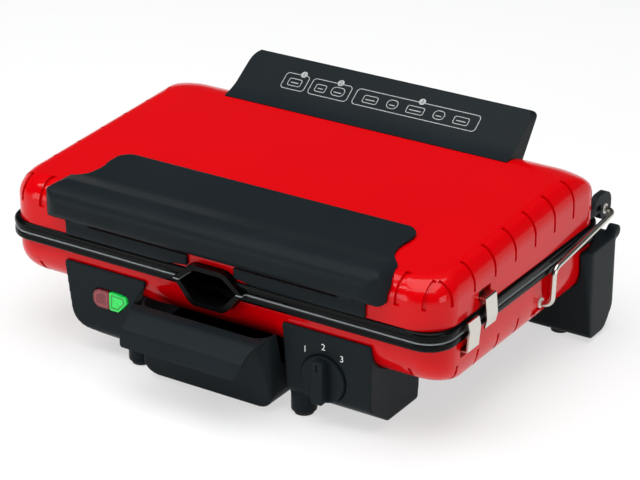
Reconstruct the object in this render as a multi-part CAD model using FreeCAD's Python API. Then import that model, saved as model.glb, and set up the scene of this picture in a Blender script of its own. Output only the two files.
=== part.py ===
import FreeCAD, Part
import math
import os

V = FreeCAD.Vector

# A contact grill: a base with a lower plate, and a lid with an upper plate that lies on it.
# X is the width, -Y the front where the handle is, Z is up from the table.
# Everything is modelled about the middle of the plates, and shifted at the end so that the
# whole grill is centred over its origin.

# Plates
plate_width = 344.0
plate_depth = 225.0
plate_corner = 20.0
seam_height = 78.7
seam_gap = 0.3
bead_height = 6.5
bead_width = 10.5
bead_round = 2.4
plate_wall = 2.8
plate_recess = 7.0
rib_height = 3.6
rib_width = 4.0
rib_pitch = 16.0
rib_margin = 9.0

# Drain spout in the front rims of the plates
spout_half_width = 30.0
spout_rise = 12.0
spout_drop = 16.5
spout_reach = 3.5
drain_half_width = 25.0
drain_rise = 8.6
drain_drop = 13.0
spout_clearance = 0.4
hump_steps = 16
hump_end_share = 0.9
hump_flat_share = 0.34

# Lid shell
shell_side_inset = 2.0
lid_end_inset = 2.0
lid_wall = 3.0
lid_corner = 23.5
lid_crown_corner = 19.0
lid_height = 42.5
lid_slope_share = 0.05
lid_side_inset = 13.5
lid_side_shoulder = 15.5
lid_front_inset = 15.0
lid_front_shoulder = 15.0
lid_rear_inset = 38.0
lid_rear_shoulder = 36.0

# Grooves over the rounded edges of both shells
groove_width = 2.6
wide_groove_width = 4.0
groove_depth = 1.7
groove_pitch = 26.6
groove_first_y = 66.0
groove_count = 7
groove_top_run = 11.0
groove_side_drop = 22.0
wide_groove_inset = 33.0
front_groove_inset = 15.0
rear_groove_insets = (45.0, 22.0)
groove_front_run = 16.0
groove_rear_run = 21.0
base_groove_count = 5
base_groove_first_y = 20.0
base_groove_height = 14.0
base_groove_run = 12.0
base_groove_inset = 26.0

# Lower shell and its cover
base_end_inset = 4.0
base_wall = 2.5
base_corner = 20.0
base_floor_corner = 16.0
base_bottom = 42.0
base_side_inset = 7.0
base_end_round = 25.0
base_shoulder = 20.0
base_end_shoulder = 26.5
flange_side_width = 22.0
flange_end_width = 36.0
cover_wall = 2.5
cover_lap = 6.0
cover_corner = 12.0

# Heating elements, reflectors and the posts that carry them
element_diameter = 6.0
element_gap = 0.1
element_bend_inset = 76.0
element_spread = 45.0
element_tail_inset = 14.0
element_pin_diameter = 2.4
element_pin_length = 5.0
reflector_inset = 22.0
reflector_corner = 12.0
reflector_wall = 0.8
reflector_depth = 8.8
saddle_width = 6.0
saddle_margin = 12.0
saddle_shares = (-0.6, 0.4)
post_radius = 4.0
post_side_inset = 62.0
post_end_inset = 44.5

# Front feet
foot_side_inset = 50.5
foot_width = 67.5
foot_inner_lean = 5.0
foot_outer_lean = 6.5
foot_top = 66.0
foot_panel = 2.6
foot_side_wall = 2.4
foot_face_bottom = 18.0
foot_toe_setback = 24.0
foot_heel_setback = 61.0
foot_heel_lean = 6.0
foot_sole = 2.0
foot_sole_wall = 2.6
foot_corner_round = 18.0
foot_edge_round = 2.0
foot_face_round = 9.0
foot_sole_round = 3.0
foot_sole_inset = 24.0
lamp_foot_bottom = 16.4
lens_side_cut = 9.0
lens_side_cut_height = 14.0
lens_side_cut_drop = 4.0
foot_post_radius = 9.0
foot_post_height = 16.0
foot_post_inset = 11.5
post_setback = 9.5

# Rear legs
leg_overhang = 6.0
leg_width = 50.0
leg_front_inset = 36.5
leg_depth = 48.0
leg_top = 70.0
leg_wall = 3.0
leg_corner = 9.0
leg_toe_lean = 8.0
leg_toe_round = 6.0
leg_sole_length = 23.0
leg_rear_lift = 21.0
leg_rear_round = 18.0
leg_sole_round = 12.0
leg_edge_round = 3.0
nub_radius = 5.0
nub_length = 8.0
nub_margin = 1.0
pad_radius = 6.5
pad_height = 4.0
leg_pad_inset = 28.0
leg_pad_setback = 18.0

# Wire bail and hinge
wire_diameter = 4.0
wire_margin = 3.0
wire_bend = 6.0
pivot_inset = 82.5
pivot_z = 51.0
wire_rise = 26.0
wire_lean = 1.5
hinge_overhang = 6.0
hinge_z = 86.5
pivot_tail = 19.0
bail_swing_degrees = 14.0
running_fit = 0.06
bush_wall = 1.6
bail_bush_inset = 14.0
bail_bush_length = 9.2
pocket_front_reach = 17.0
pocket_rear_reach = 8.0
pocket_bottom = 47.6
pocket_depth = 3.8
pocket_wall = 1.6
ear_inset = 9.0
ear_thickness = 5.0
ear_rise = 12.5
ear_root = 26.5
ear_radius = 7.5
ear_tail = 8.5
ear_round = 9.0
ear_shoulder = 9.5
ear_shoulder_round = 7.0
ear_foot = 3.0
ear_clearance = 1.0
ear_window_reach = 12.5
ear_window_length = 5.5
ear_window_rise = 1.5
ear_window_height = 4.5
ear_window_round = 2.0

# Handle on the lid
handle_overhang = 8.5
handle_depth = 78.0
handle_tab_rise = 3.2
handle_tab_inset = 51.0
handle_neck_inset = 54.5
handle_side_inset = 37.0
handle_neck_setback = 42.0
handle_shoulder_setback = 23.0
handle_valley_setback = 34.0
handle_valley_z = 119.0
handle_crest_setback = 18.0
handle_crest_z = 122.0
handle_brow_z = 119.0
handle_bottom_z = 97.0
handle_round_rear = 14.0
handle_round_neck = 24.0
handle_round_shoulder = 12.0
handle_round_corner = 17.0
handle_round_end = 15.5
handle_round_front = 12.0
handle_round_lip = 8.0
handle_round_valley = 22.0
handle_round_tab = 2.5
strip_side_inset = 54.0
strip_inner_x = 17.5
strip_bottom_z = 87.0
strip_overhang = 0.7
finger_side_inset = 74.0
finger_overhang = 5.1
finger_top_z = 109.0

# Rear panel on the lid
panel_side_inset = 56.0
panel_front_inset = 40.5
panel_bend_inset = 29.5
panel_bend_z = 128.6
panel_top_inset = 0.5
panel_top_z = 149.0
panel_overhang = 4.5
panel_rear_z = 146.0
panel_heel_inset = 28.5
panel_round = 2.5
panel_bend_round = 40.0
panel_end_round = 7.0
panel_taper = 1.5

# Knob, thermostat and lamps
knob_inset = 32.0
knob_z = 33.5
knob_radius = 16.2
knob_well_radius = 17.0
knob_well_depth = 1.2
knob_gap = 0.3
knob_disc = 2.4
knob_disc_round = 0.9
grip_width = 8.6
grip_height = 6.5
grip_round = 2.0
pointer_width = 1.2
pointer_length = 5.0
pointer_depth = 0.8
shaft_radius = 3.0
shaft_clearance = 0.4
shaft_depth = 9.0
shaft_grip = 7.0
thermostat_width = 28.0
thermostat_height = 16.0
thermostat_depth = 12.0
lens_split_inset = 29.4
lens_red_width = 13.4
lens_green_width = 14.6
lens_bottom = 38.0
lens_height = 13.0
lens_corner_share = 0.42
lens_tip_share = 0.62
lens_tip_cut_share = 0.5
lens_gap = 0.3
lens_fit = 0.15
lens_proud = 0.9
lens_round = 1.0
lens_length = 7.5
lamp_radius = 2.6
lamp_length = 4.0
lamp_gap = 0.2
lamp_z = 41.0
board_wall = 1.6
board_width = 34.0
board_height = 18.0
board_z = 36.0
board_post_radius = 2.2
board_post_margin = 3.0
board_post_drop = 3.0

# Drip tray and its rails
tray_side_gap = 2.5
tray_overhang = 14.5
tray_toe_overhang = 5.0
tray_rear_y = 22.0
tray_bottom = 3.0
tray_brow_z = 57.0
tray_side_z = 31.3
tray_rise_inset = 0.5
tray_fall_inset = 7.5
tray_wall = 2.0
tray_corner = 11.0
tray_front_corner = 13.0
tray_flange = 3.0
tray_flange_inset = 12.5
visor_overhang = 40.2
visor_front_z = 38.0
visor_knee_setback = 6.2
visor_knee_z = 48.5
visor_knee_round = 8.0
visor_crest_setback = 18.7
visor_crest_round = 10.0
visor_wall = 2.4
visor_lean_share = 0.25
visor_side_inset = 1.5
visor_corner = 7.0
visor_waist = 4.0
visor_waist_setback = 10.7
visor_root_setback = 21.7
rail_gap = 0.3
rail_wall = 1.5
rail_lip = 2.0
rail_front_inset = 68.5
rail_rear_y = 24.0

# Plate clips
clip_width = 14.0
clip_wall = 1.2
clip_margin = 1.6
clip_bulge = 1.4
clip_tail = 6.2
clip_pivot_inset = 8.5
clip_pivot_rise = 15.8
clip_barrel_wall = 1.2
clip_pin_radius = 1.05
clip_lug_wall = 1.8
clip_lug_gap = 0.3
clip_lug_margin = 1.6
clip_window_margin = 0.7
clip_window_rise = 3.0
upper_clip_y = -54.2
lower_clip_y = -75.8

# Small fittings
screw_radius = 1.6
screw_head_radius = 3.2
screw_head_height = 2.0
screw_clearance = 0.3
base_screw_y = 40.0
handle_screw_inset = 60.0
handle_screw_z = 98.8
handle_screw_length = 10.0
panel_screw_inset = 92.0
panel_screw_setback = 9.0
panel_screw_grip = 2.4
boss_radius = 5.0
panel_boss_z = 112.0
fuse_radius = 2.5
fuse_length = 16.0
block_width = 34.0
block_depth = 16.0
block_height = 8.0
block_x = 40.0
block_y = 70.0
gland_x = 70.0
gland_z = 64.8
gland_radius = 4.5
gland_flange_radius = 6.5
gland_flange = 2.4
gland_length = 3.2
gland_bore = 3.3
overrun = 1.0

# Places that follow from the sizes
plate_half_x = plate_width / 2
plate_half_y = plate_depth / 2
pan_inset = bead_width - plate_wall
lid_half_x = plate_half_x - shell_side_inset
lid_half_y = plate_half_y - lid_end_inset
base_half_x = plate_half_x - shell_side_inset
base_half_y = plate_half_y - base_end_inset
half_gap = seam_gap / 2
lid_bottom = seam_height + half_gap + bead_height
lid_top = seam_height + lid_height
base_top = seam_height - half_gap - bead_height
pan_depth = plate_recess + plate_wall
lower_pan_z = seam_height - half_gap - pan_depth
upper_pan_z = seam_height + half_gap + pan_depth
cover_bottom = base_bottom + base_wall
cover_top = cover_bottom + cover_wall

element_reach = plate_half_x - element_bend_inset
element_tail = plate_half_x - element_tail_inset
reflector_half_width = plate_half_x - reflector_inset
reflector_half_depth = plate_half_y - reflector_inset
post_x = plate_half_x - post_side_inset
post_y = plate_half_y - post_end_inset

foot_outer_x = plate_half_x - foot_side_inset
foot_inner_x = foot_outer_x - foot_width
foot_face_y = -(base_half_y + foot_panel)
foot_post_x = foot_inner_x + foot_post_inset
foot_post_y = foot_face_y + post_setback
knob_x = foot_inner_x + knob_inset
lens_split_x = foot_inner_x + lens_split_inset

leg_outer_x = plate_half_x + leg_overhang
leg_inner_x = leg_outer_x - leg_width
leg_front_y = plate_half_y - leg_front_inset
leg_rear_y = leg_front_y + leg_depth
leg_pad_x = leg_outer_x - leg_pad_inset
leg_pad_y = leg_front_y + leg_pad_setback

wire_x = plate_half_x + wire_margin
wire_radius = wire_diameter / 2
pivot_y = plate_half_y - pivot_inset
hinge_y = plate_half_y + hinge_overhang
bail_bush_inner_x = plate_half_x - bail_bush_inset
bail_bush_outer_x = bail_bush_inner_x + bail_bush_length
pocket_front_y = pivot_y - pocket_front_reach
pocket_rear_y = pivot_y + pocket_rear_reach
ear_inner_x = plate_half_x - ear_inset

handle_half_width = plate_half_x - handle_side_inset
handle_tab_half_width = plate_half_x - handle_tab_inset
handle_neck_half_width = plate_half_x - handle_neck_inset
handle_front_y = plate_half_y + handle_overhang
handle_rear_y = handle_front_y - handle_depth
handle_neck_y = handle_front_y - handle_neck_setback
handle_shoulder_y = handle_front_y - handle_shoulder_setback
handle_valley_y = handle_front_y - handle_valley_setback
handle_crest_y = handle_front_y - handle_crest_setback
strip_half_width = plate_half_x - strip_side_inset
strip_front_y = plate_half_y + strip_overhang
finger_half_width = plate_half_x - finger_side_inset
finger_front_y = plate_half_y + finger_overhang
handle_screw_x = plate_half_x - handle_screw_inset

panel_half_width = plate_half_x - panel_side_inset
panel_front_y = plate_half_y - panel_front_inset
panel_bend_y = plate_half_y - panel_bend_inset
panel_top_y = plate_half_y - panel_top_inset
panel_rear_y = plate_half_y + panel_overhang
panel_heel_y = plate_half_y - panel_heel_inset
panel_screw_x = plate_half_x - panel_screw_inset
panel_screw_y = panel_bend_y + panel_screw_setback

tray_half_width = foot_inner_x - tray_side_gap
tray_front_y = plate_half_y + tray_overhang
tray_toe_y = plate_half_y + tray_toe_overhang
tray_rise_y = plate_half_y - tray_rise_inset
tray_fall_y = plate_half_y - tray_fall_inset
tray_flange_front_y = plate_half_y - tray_flange_inset
visor_half_width = tray_half_width - visor_side_inset
visor_front_y = plate_half_y + visor_overhang
visor_knee_y = visor_front_y - visor_knee_setback
visor_crest_y = visor_front_y - visor_crest_setback
visor_waist_y = visor_front_y - visor_waist_setback
visor_root_y = visor_front_y - visor_root_setback
rail_front_y = plate_half_y - rail_front_inset

clip_x = plate_half_x + clip_margin
clip_pivot_x = plate_half_x - clip_pivot_inset
front_most = -visor_front_y
rear_most = leg_rear_y - leg_edge_round / 2 + nub_radius
centre_shift = -(front_most + rear_most) / 2
left, right = -1, 1


def box(x0, x1, y0, y1, z0, z1):
    """Box between two corners."""
    return Part.makeBox(x1 - x0, y1 - y0, z1 - z0, V(x0, y0, z0))


def rod(start, end, radius):
    """Round bar from one point to another."""
    start, end = V(*start), V(*end)
    return Part.makeCylinder(radius, (end - start).Length, start, end - start)


def outline(points):
    """Closed wire through points (vector, corner radius), with a tangent arc at each corner."""
    stations = []
    count = len(points)
    for i, (corner, radius) in enumerate(points):
        before = (points[i - 1][0] - corner).normalize()
        after = (points[(i + 1) % count][0] - corner).normalize()
        half = before.getAngle(after) / 2
        if radius == 0:
            stations.append((corner, None, corner))
            continue
        reach = radius / math.tan(half)
        middle = corner + (before + after).normalize() * (radius / math.sin(half) - radius)
        stations.append((corner + before * reach, middle, corner + after * reach))
    edges = []
    for i, (start, middle, end) in enumerate(stations):
        if middle is not None:
            edges.append(Part.Arc(start, middle, end).toShape())
        edges.append(Part.makeLine(end, stations[(i + 1) % count][0]))
    return Part.Wire(edges)


def along_x(points, x0, x1):
    """Solid with an outline of (y, z, corner radius), from x0 to x1."""
    wire = outline([(V(x0, y, z), r) for y, z, r in points])
    return Part.Face(wire).extrude(V(x1 - x0, 0, 0))


def along_y(points, y0, y1):
    """Solid with an outline of (x, z, corner radius), from y0 to y1."""
    wire = outline([(V(x, y0, z), r) for x, z, r in points])
    return Part.Face(wire).extrude(V(0, y1 - y0, 0))


def along_z(points, z0, z1):
    """Solid with an outline of (x, y, corner radius), from z0 to z1."""
    wire = outline([(V(x, y, z0), r) for x, y, r in points])
    return Part.Face(wire).extrude(V(0, 0, z1 - z0))


def rounded_plan(half_x, front, rear, corner):
    """Corners of a rounded rectangle that is symmetrical about x = 0."""
    return [(-half_x, front, corner), (half_x, front, corner),
            (half_x, rear, corner), (-half_x, rear, corner)]


def slab(half_x, half_y, corner, z0, z1):
    """Rounded rectangle about the middle, from z0 to z1."""
    return along_z(rounded_plan(half_x, -half_y, half_y, corner), min(z0, z1), max(z0, z1))


def edges_at(shape, z):
    """Edges that lie at one height."""
    reach = seam_gap / 2
    return [e for e in shape.Edges if abs(e.BoundBox.ZMin - z) < reach and abs(e.BoundBox.ZMax - z) < reach]


def mirrored(shape):
    """The same shape on the other side of x = 0."""
    return shape.mirror(V(0, 0, 0), V(1, 0, 0))


def group(shapes):
    """Separate solids that share one node."""
    return Part.makeCompound(shapes)


# Plates

def hump(half_width, depth, up, front, rear):
    """Spout shape: a flat-topped hump that ends in a low step at the seam line on both sides."""
    seam = seam_height + up * half_gap
    points = []
    for i in range(hump_steps + 1):
        place_share = hump_end_share * (2 * i / hump_steps - 1)
        fall_share = max(0, abs(place_share) - hump_flat_share) / (1 - hump_flat_share)
        rise_share = (1 + math.cos(math.pi * fall_share)) / 2
        points.append(V(place_share * half_width, front, seam + up * depth * rise_share))
    curve = Part.BSplineCurve()
    curve.interpolate(points)
    corners = [points[-1], V(points[-1].x, front, seam), V(points[0].x, front, seam), points[0]]
    wire = Part.Wire([curve.toShape()] + Part.makePolygon(corners).Edges)
    return Part.Face(wire).extrude(V(0, rear - front, 0))


def plate(up, spout_size, drain_size):
    """Cooking plate with its rim, ribs and half of the drain spout; up is 1 for the lid's plate."""
    def level(depth):
        return seam_height + up * (half_gap + depth)

    rim = slab(plate_half_x, plate_half_y, plate_corner, level(0), level(bead_height))
    rim = rim.makeFillet(bead_round, edges_at(rim, level(0)) + edges_at(rim, level(bead_height)))
    pan_corner = plate_corner - pan_inset
    pan = slab(plate_half_x - pan_inset, plate_half_y - pan_inset, pan_corner, level(0), level(pan_depth))
    inner_x, inner_y = plate_half_x - bead_width, plate_half_y - bead_width
    hollow = slab(inner_x, inner_y, plate_corner - bead_width, level(-overrun), level(plate_recess))
    front = -plate_half_y - spout_reach
    inner_front = -inner_y
    spout = hump(spout_half_width, spout_size, up, front, inner_front)
    drain = hump(drain_half_width, drain_size, up, front - overrun, inner_front + overrun)
    body = rim.fuse([pan, spout]).cut([hollow, drain])
    ribs = []
    rib_count = int((inner_x - rib_margin) / rib_pitch)
    floor, crest = sorted((level(plate_recess), level(plate_recess - rib_height)))
    for i in range(-rib_count, rib_count + 1):
        x0 = i * rib_pitch - rib_width / 2
        ribs.append(box(x0, x0 + rib_width, rib_margin - inner_y, inner_y - rib_margin, floor, crest))
    return body.fuse(ribs).removeSplitter()


def spout_notch(up, size, rear):
    """Room for the spout in the front wall of a shell."""
    front = -plate_half_y - spout_reach - overrun
    return hump(spout_half_width + 2 * spout_clearance, size + spout_clearance, up, front, rear)


# Shells

def shell_section(half_x, front, rear, corner, level):
    """Closed wire of straight sides and round corners, whose height may differ from side to side.

    level(edge, y) gives the height along the front, rear or side edge.
    """
    edges = []
    ends = []
    steps = 8
    for sx, edge in ((-1, "front"), (1, "front"), (1, "rear"), (-1, "rear")):
        sy = -1 if edge == "front" else 1
        centre_x = sx * (half_x - corner)
        centre_y = front + corner if edge == "front" else rear - corner
        points = []
        for i in range(steps + 1):
            turn = math.radians(90) * i / steps
            blend_share = i / steps
            blend_share = blend_share * blend_share * (3 - 2 * blend_share)
            x = centre_x + sx * corner * math.cos(turn)
            y = centre_y + sy * corner * math.sin(turn)
            z = level("side", y) * (1 - blend_share) + level(edge, y) * blend_share
            points.append(V(x, y, z))
        if sx * sy < 0:
            points.reverse()
        curve = Part.BSplineCurve()
        curve.interpolate(points)
        edges.append(curve.toShape())
        ends.append((points[0], points[-1]))
    wire_edges = []
    for i, edge in enumerate(edges):
        wire_edges.append(edge)
        wire_edges.append(Part.makeLine(ends[i][1], ends[(i + 1) % len(ends)][0]))
    return Part.Wire(Part.__sortEdges__(wire_edges))


def shell_form(offset, half_x, half_y, corners, rim_z, crown_z, slope, shoulders):
    """Solid shape of a shell: straight walls from the rim, then round shoulders up or down to the crown.

    shoulders gives the inset and the height of the shoulder along the side, front and rear edges, and
    offset draws the whole shape in, for the hollow inside it.
    """
    up = 1 if crown_z > rim_z else -1
    rim = rim_z if offset == 0 else rim_z - up * overrun

    def height(edge, y, turn):
        drop = (shoulders[edge][1] - offset) * (1 - math.sin(turn))
        return crown_z + slope * y - up * (offset + drop)

    def section(turn, wall_share):
        drawn_in = 1 - math.cos(turn)
        inset = {edge: offset + (size[0] - offset) * drawn_in for edge, size in shoulders.items()}
        corner = corners[0] + (corners[1] - corners[0]) * drawn_in - offset

        def level(edge, y):
            return rim + (height(edge, y, turn) - rim) * wall_share

        front, rear = inset["front"] - half_y, half_y - inset["rear"]
        return shell_section(half_x - inset["side"], front, rear, corner, level)

    rim_wire = section(0, 0)
    turns = [math.radians(angle) for angle in (0, 5, 15, 28, 41, 54, 67, 79, 90)]
    sections = [section(turn, 1) for turn in turns]
    wall = Part.makeLoft([rim_wire, sections[0]], False, True)
    shoulder = Part.makeLoft(sections, False, False)
    skin = Part.makeShell(wall.Faces + shoulder.Faces + [Part.Face(rim_wire), Part.Face(sections[-1])])
    skin.sewShape(running_fit)
    solid = Part.makeSolid(skin)
    if solid.Volume < 0:
        solid.reverse()
    return solid


def lid_body(offset):
    """Solid shape of the lid, drawn in by an offset from its outer skin."""
    shoulders = {"side": (lid_side_inset, lid_side_shoulder), "front": (lid_front_inset, lid_front_shoulder),
                 "rear": (lid_rear_inset, lid_rear_shoulder)}
    return shell_form(offset, lid_half_x, lid_half_y, (lid_corner, lid_crown_corner), lid_bottom, lid_top,
                      lid_slope_share, shoulders)


def base_body(offset):
    """Solid shape of the lower shell, drawn in by an offset from its outer skin."""
    end = (base_end_round, base_end_shoulder)
    shoulders = {"side": (base_side_inset, base_shoulder), "front": end, "rear": end}
    corners = (base_corner, base_floor_corner)
    return shell_form(offset, base_half_x, base_half_y, corners, base_top, base_bottom,
                      0, shoulders)


# Lid

def lid_grooves():
    """Boxes that cross the rounded edges of the lid wherever it has a groove."""
    half = groove_width / 2
    top = lid_top + groove_side_drop
    boxes = []
    for side in (left, right):
        outer = side * (lid_half_x + overrun)
        inner = side * (lid_half_x - groove_top_run)
        x0, x1 = min(outer, inner), max(outer, inner)
        for i in range(groove_count):
            y = groove_first_y - i * groove_pitch
            boxes.append(box(x0, x1, y - half, y + half, lid_top - groove_side_drop, top))
        for inset, width in ((wide_groove_inset, wide_groove_width), (front_groove_inset, groove_width)):
            x = side * (plate_half_x - inset)
            boxes.append(box(x - width / 2, x + width / 2, -lid_half_y - overrun,
                             groove_front_run - lid_half_y, lid_top - groove_side_drop, top))
        for inset in rear_groove_insets:
            x = side * (plate_half_x - inset)
            boxes.append(box(x - half, x + half, lid_half_y - groove_rear_run,
                             lid_half_y + overrun, lid_top - groove_side_drop, top))
    return boxes


def clip_window(side, up, y, half_x):
    """Opening in a shell's side wall for a plate clip, with room for its swing."""
    barrel = clip_pin_radius + clip_barrel_wall
    z = seam_height + up * (clip_pivot_rise - clip_window_margin - barrel - clip_wall)
    z_far = seam_height + up * (clip_pivot_rise + clip_window_rise)
    half = clip_width / 2 + clip_window_margin
    outer, inner = side * (half_x + overrun), side * (half_x - lid_wall - overrun)
    return box(min(outer, inner), max(outer, inner), y - half, y + half, min(z, z_far), max(z, z_far))


def clip_lugs(side, up, y, shell_inner_x):
    """Two lugs inside a shell that hold the pin of a plate clip."""
    z = seam_height + up * clip_pivot_rise
    reach = clip_pin_radius + clip_lug_margin
    inner, outer = side * (clip_pivot_x - reach), side * (shell_inner_x + overrun)
    lugs = []
    for end in (-1, 1):
        near = y + end * (clip_width / 2 + clip_lug_gap)
        far = near + end * clip_lug_wall
        x0, x1 = sorted((inner, outer))
        y0, y1 = sorted((near, far))
        lugs.append(box(x0, x1, y0, y1, z - reach, z + reach))
    return lugs


def clip_pin(side, up, y):
    """Pin that carries a plate clip."""
    z = seam_height + up * clip_pivot_rise
    half = clip_width / 2 + clip_lug_gap + clip_lug_wall
    return rod((side * clip_pivot_x, y - half, z), (side * clip_pivot_x, y + half, z), clip_pin_radius)


def clip(side, up, y):
    """Bent strip: a barrel on the pin, an arm out through the wall and a kinked tail across the rims."""
    z = seam_height + up * clip_pivot_rise
    barrel = clip_pin_radius + running_fit + clip_barrel_wall
    arm, arm_far = z - up * barrel, z - up * (barrel - clip_wall)
    tail = seam_height - up * clip_tail
    pivot, inner = side * clip_pivot_x, side * clip_x
    outer = side * (clip_x + clip_wall)
    bulge = side * clip_bulge
    points = [(pivot, arm, 0), (pivot, arm_far, 0), (outer, arm_far, clip_wall),
              (outer + bulge, seam_height, clip_wall), (outer, tail, 0), (inner, tail, 0),
              (inner + bulge, seam_height, 0), (inner, arm, 0)]
    front, rear = y - clip_width / 2, y + clip_width / 2
    ring = rod((pivot, front, z), (pivot, rear, z), barrel)
    bore = rod((pivot, front - overrun, z), (pivot, rear + overrun, z), clip_pin_radius + running_fit)
    return along_y(points, front, rear).fuse(ring).cut(bore).removeSplitter()


def post_rods(z0, z1):
    """Upright posts that carry a reflector."""
    return [rod((sx * post_x, sy * post_y, z0), (sx * post_x, sy * post_y, z1), post_radius)
            for sx in (-1, 1) for sy in (-1, 1)]


def panel_screw_rods(radius, z0, z1):
    """Upright rods at the places of the rear panel's screws."""
    return [rod((side * panel_screw_x, panel_screw_y, z0), (side * panel_screw_x, panel_screw_y, z1), radius)
            for side in (left, right)]


def handle_screw_rods(radius, y0, y1):
    """Level rods at the places of the handle's screws."""
    z = handle_screw_z
    return [rod((side * handle_screw_x, y0, z), (side * handle_screw_x, y1, z), radius)
            for side in (left, right)]


panel_screw_top = panel_bend_z + panel_screw_grip
handle_screw_seat = lid_wall - lid_half_y
handle_screw_tip = handle_screw_seat - handle_screw_length


def lid_shell(skin):
    """Red upper shell, with bosses and lugs inside."""
    reflector_top = upper_pan_z + reflector_depth
    bosses = post_rods(reflector_top, lid_top + overrun)
    bosses += panel_screw_rods(boss_radius, panel_boss_z, panel_rear_z)
    lugs, cuts, bores = [], [], []
    for side in (left, right):
        lugs += clip_lugs(side, 1, upper_clip_y, lid_half_x - lid_wall)
        cuts.append(clip_window(side, 1, upper_clip_y, lid_half_x))
        bores.append(clip_pin(side, 1, upper_clip_y))
    inside = [skin.common(b) for b in bosses + lugs]
    shell = skin.cut(lid_body(lid_wall)).fuse(inside)
    grooves = group(lid_grooves()).common(skin.cut(lid_body(groove_depth)))
    cuts.append(spout_notch(1, spout_rise, lid_wall + bead_width - lid_half_y))
    bores += panel_screw_rods(screw_radius, panel_boss_z - overrun, panel_screw_top)
    bores += handle_screws().Solids
    return shell.cut(cuts + bores + [grooves]).removeSplitter()


def handle(skin):
    """Black grip: a tab on the lid, a roll along its front edge and a strip below the roll."""
    tab_z = lid_top - lid_slope_share * handle_rear_y + handle_tab_rise
    section = [
        (-handle_rear_y, tab_z, handle_round_tab),
        (-handle_valley_y, handle_valley_z, handle_round_valley),
        (-handle_crest_y, handle_crest_z, handle_round_front),
        (-handle_front_y, handle_brow_z, handle_round_front),
        (-handle_front_y, handle_bottom_z, handle_round_lip),
        (-handle_rear_y, handle_bottom_z, 0)]
    bar = along_x(section, -handle_half_width, handle_half_width)
    plan = [(-handle_tab_half_width, -handle_rear_y, handle_round_rear),
            (-handle_neck_half_width, -handle_neck_y, handle_round_neck),
            (-handle_half_width, -handle_shoulder_y, handle_round_shoulder),
            (-handle_half_width, -handle_front_y, handle_round_corner)]
    plan += [(-x, y, r) for x, y, r in reversed(plan)]
    ends = [(-handle_half_width, handle_crest_z, handle_round_end),
            (handle_half_width, handle_crest_z, handle_round_end),
            (handle_half_width, handle_bottom_z, handle_round_lip),
            (-handle_half_width, handle_bottom_z, handle_round_lip)]
    bar = bar.common(along_z(plan, handle_bottom_z, handle_crest_z))
    bar = bar.common(along_y(ends, -handle_front_y, -handle_rear_y))
    strips = []
    for side in (left, right):
        x0, x1 = sorted((side * strip_inner_x, side * strip_half_width))
        strips.append(box(x0, x1, -strip_front_y, -inside_front(), strip_bottom_z, handle_bottom_z + overrun))
    finger = box(-finger_half_width, finger_half_width, -finger_front_y, -lid_half_y,
                 handle_bottom_z - overrun, finger_top_z)
    screws = handle_screw_rods(screw_radius, handle_screw_seat, handle_screw_tip)
    body = bar.fuse(strips).cut([skin, finger] + screws)
    return largest(body.removeSplitter())


def inside_front():
    """A depth that lies safely inside the lid's front wall."""
    return lid_half_y - lid_wall


def largest(shape):
    """The main solid of a cut shape."""
    return max(shape.Solids, key=lambda s: s.Volume)


def rear_panel(skin):
    """Black panel that leans back at the rear of the lid."""
    sunk_z = lid_bottom + lid_height / 2
    section = [
        (panel_front_y, panel_bend_z - lid_wall, 0),
        (panel_bend_y, panel_bend_z, panel_bend_round),
        (panel_top_y, panel_top_z, panel_round),
        (panel_rear_y, panel_rear_z, panel_round),
        (panel_heel_y, sunk_z, 0),
        (panel_front_y, sunk_z, 0)]
    top_half = panel_half_width - panel_taper
    ends = [(-panel_half_width, sunk_z, 0), (panel_half_width, sunk_z, 0),
            (top_half, panel_top_z, panel_end_round), (-top_half, panel_top_z, panel_end_round)]
    body = along_x(section, -panel_half_width, panel_half_width)
    body = body.common(along_y(ends, panel_front_y, panel_rear_y))
    body = body.cut([skin] + panel_screw_rods(screw_radius, panel_boss_z, panel_screw_top))
    return largest(body)


def hinge_ear(side, skin):
    """Fin on a rear corner of the lid, with the bore for the wire's bush and a window."""
    x0, x1 = sorted((side * ear_inner_x, side * (ear_inner_x + ear_thickness)))
    low = lid_bottom + ear_clearance
    front, rear, top = hinge_y - ear_root, hinge_y + ear_tail, hinge_z + ear_rise
    tail = ear_radius - running_fit
    points = [
        (front, low, 0), (front, low + ear_foot, 0), (hinge_y - ear_shoulder, top, ear_shoulder_round),
        (rear, top, ear_round), (rear, hinge_z - ear_radius, tail),
        (hinge_y - ear_radius, hinge_z - ear_radius, tail), (hinge_y - ear_radius, low, 0)]
    window_y, window_z = hinge_y - ear_window_reach, hinge_z + ear_window_rise
    window = [(window_y, window_z, ear_window_round),
              (window_y, window_z + ear_window_height, ear_window_round),
              (window_y + ear_window_length, window_z + ear_window_height, ear_window_round),
              (window_y + ear_window_length, window_z, ear_window_round)]
    bore = bush_bore() + running_fit
    cuts = [skin, rod((x0 - overrun, hinge_y, hinge_z), (x1 + overrun, hinge_y, hinge_z), bore),
            along_x(window, x0 - overrun, x1 + overrun)]
    return largest(along_x(points, x0, x1).cut(cuts))


# Base

def base_grooves():
    """Boxes that cross the lower rounded edge wherever the base has a groove."""
    half = groove_width / 2
    low, high = base_bottom - overrun, base_bottom + base_groove_height
    boxes = []
    for side in (left, right):
        x0, x1 = sorted((side * (base_half_x + overrun), side * (base_half_x - base_groove_run)))
        for i in range(base_groove_count):
            y = base_groove_first_y - i * groove_pitch
            boxes.append(box(x0, x1, y - half, y + half, low, high))
        x = side * (plate_half_x - base_groove_inset)
        boxes.append(box(x - half, x + half, -base_half_y - overrun, base_end_round - base_half_y, low, high))
    return boxes


def bush_bore():
    """Outer radius of the bushes that carry the wire."""
    return wire_radius + running_fit + bush_wall


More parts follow.
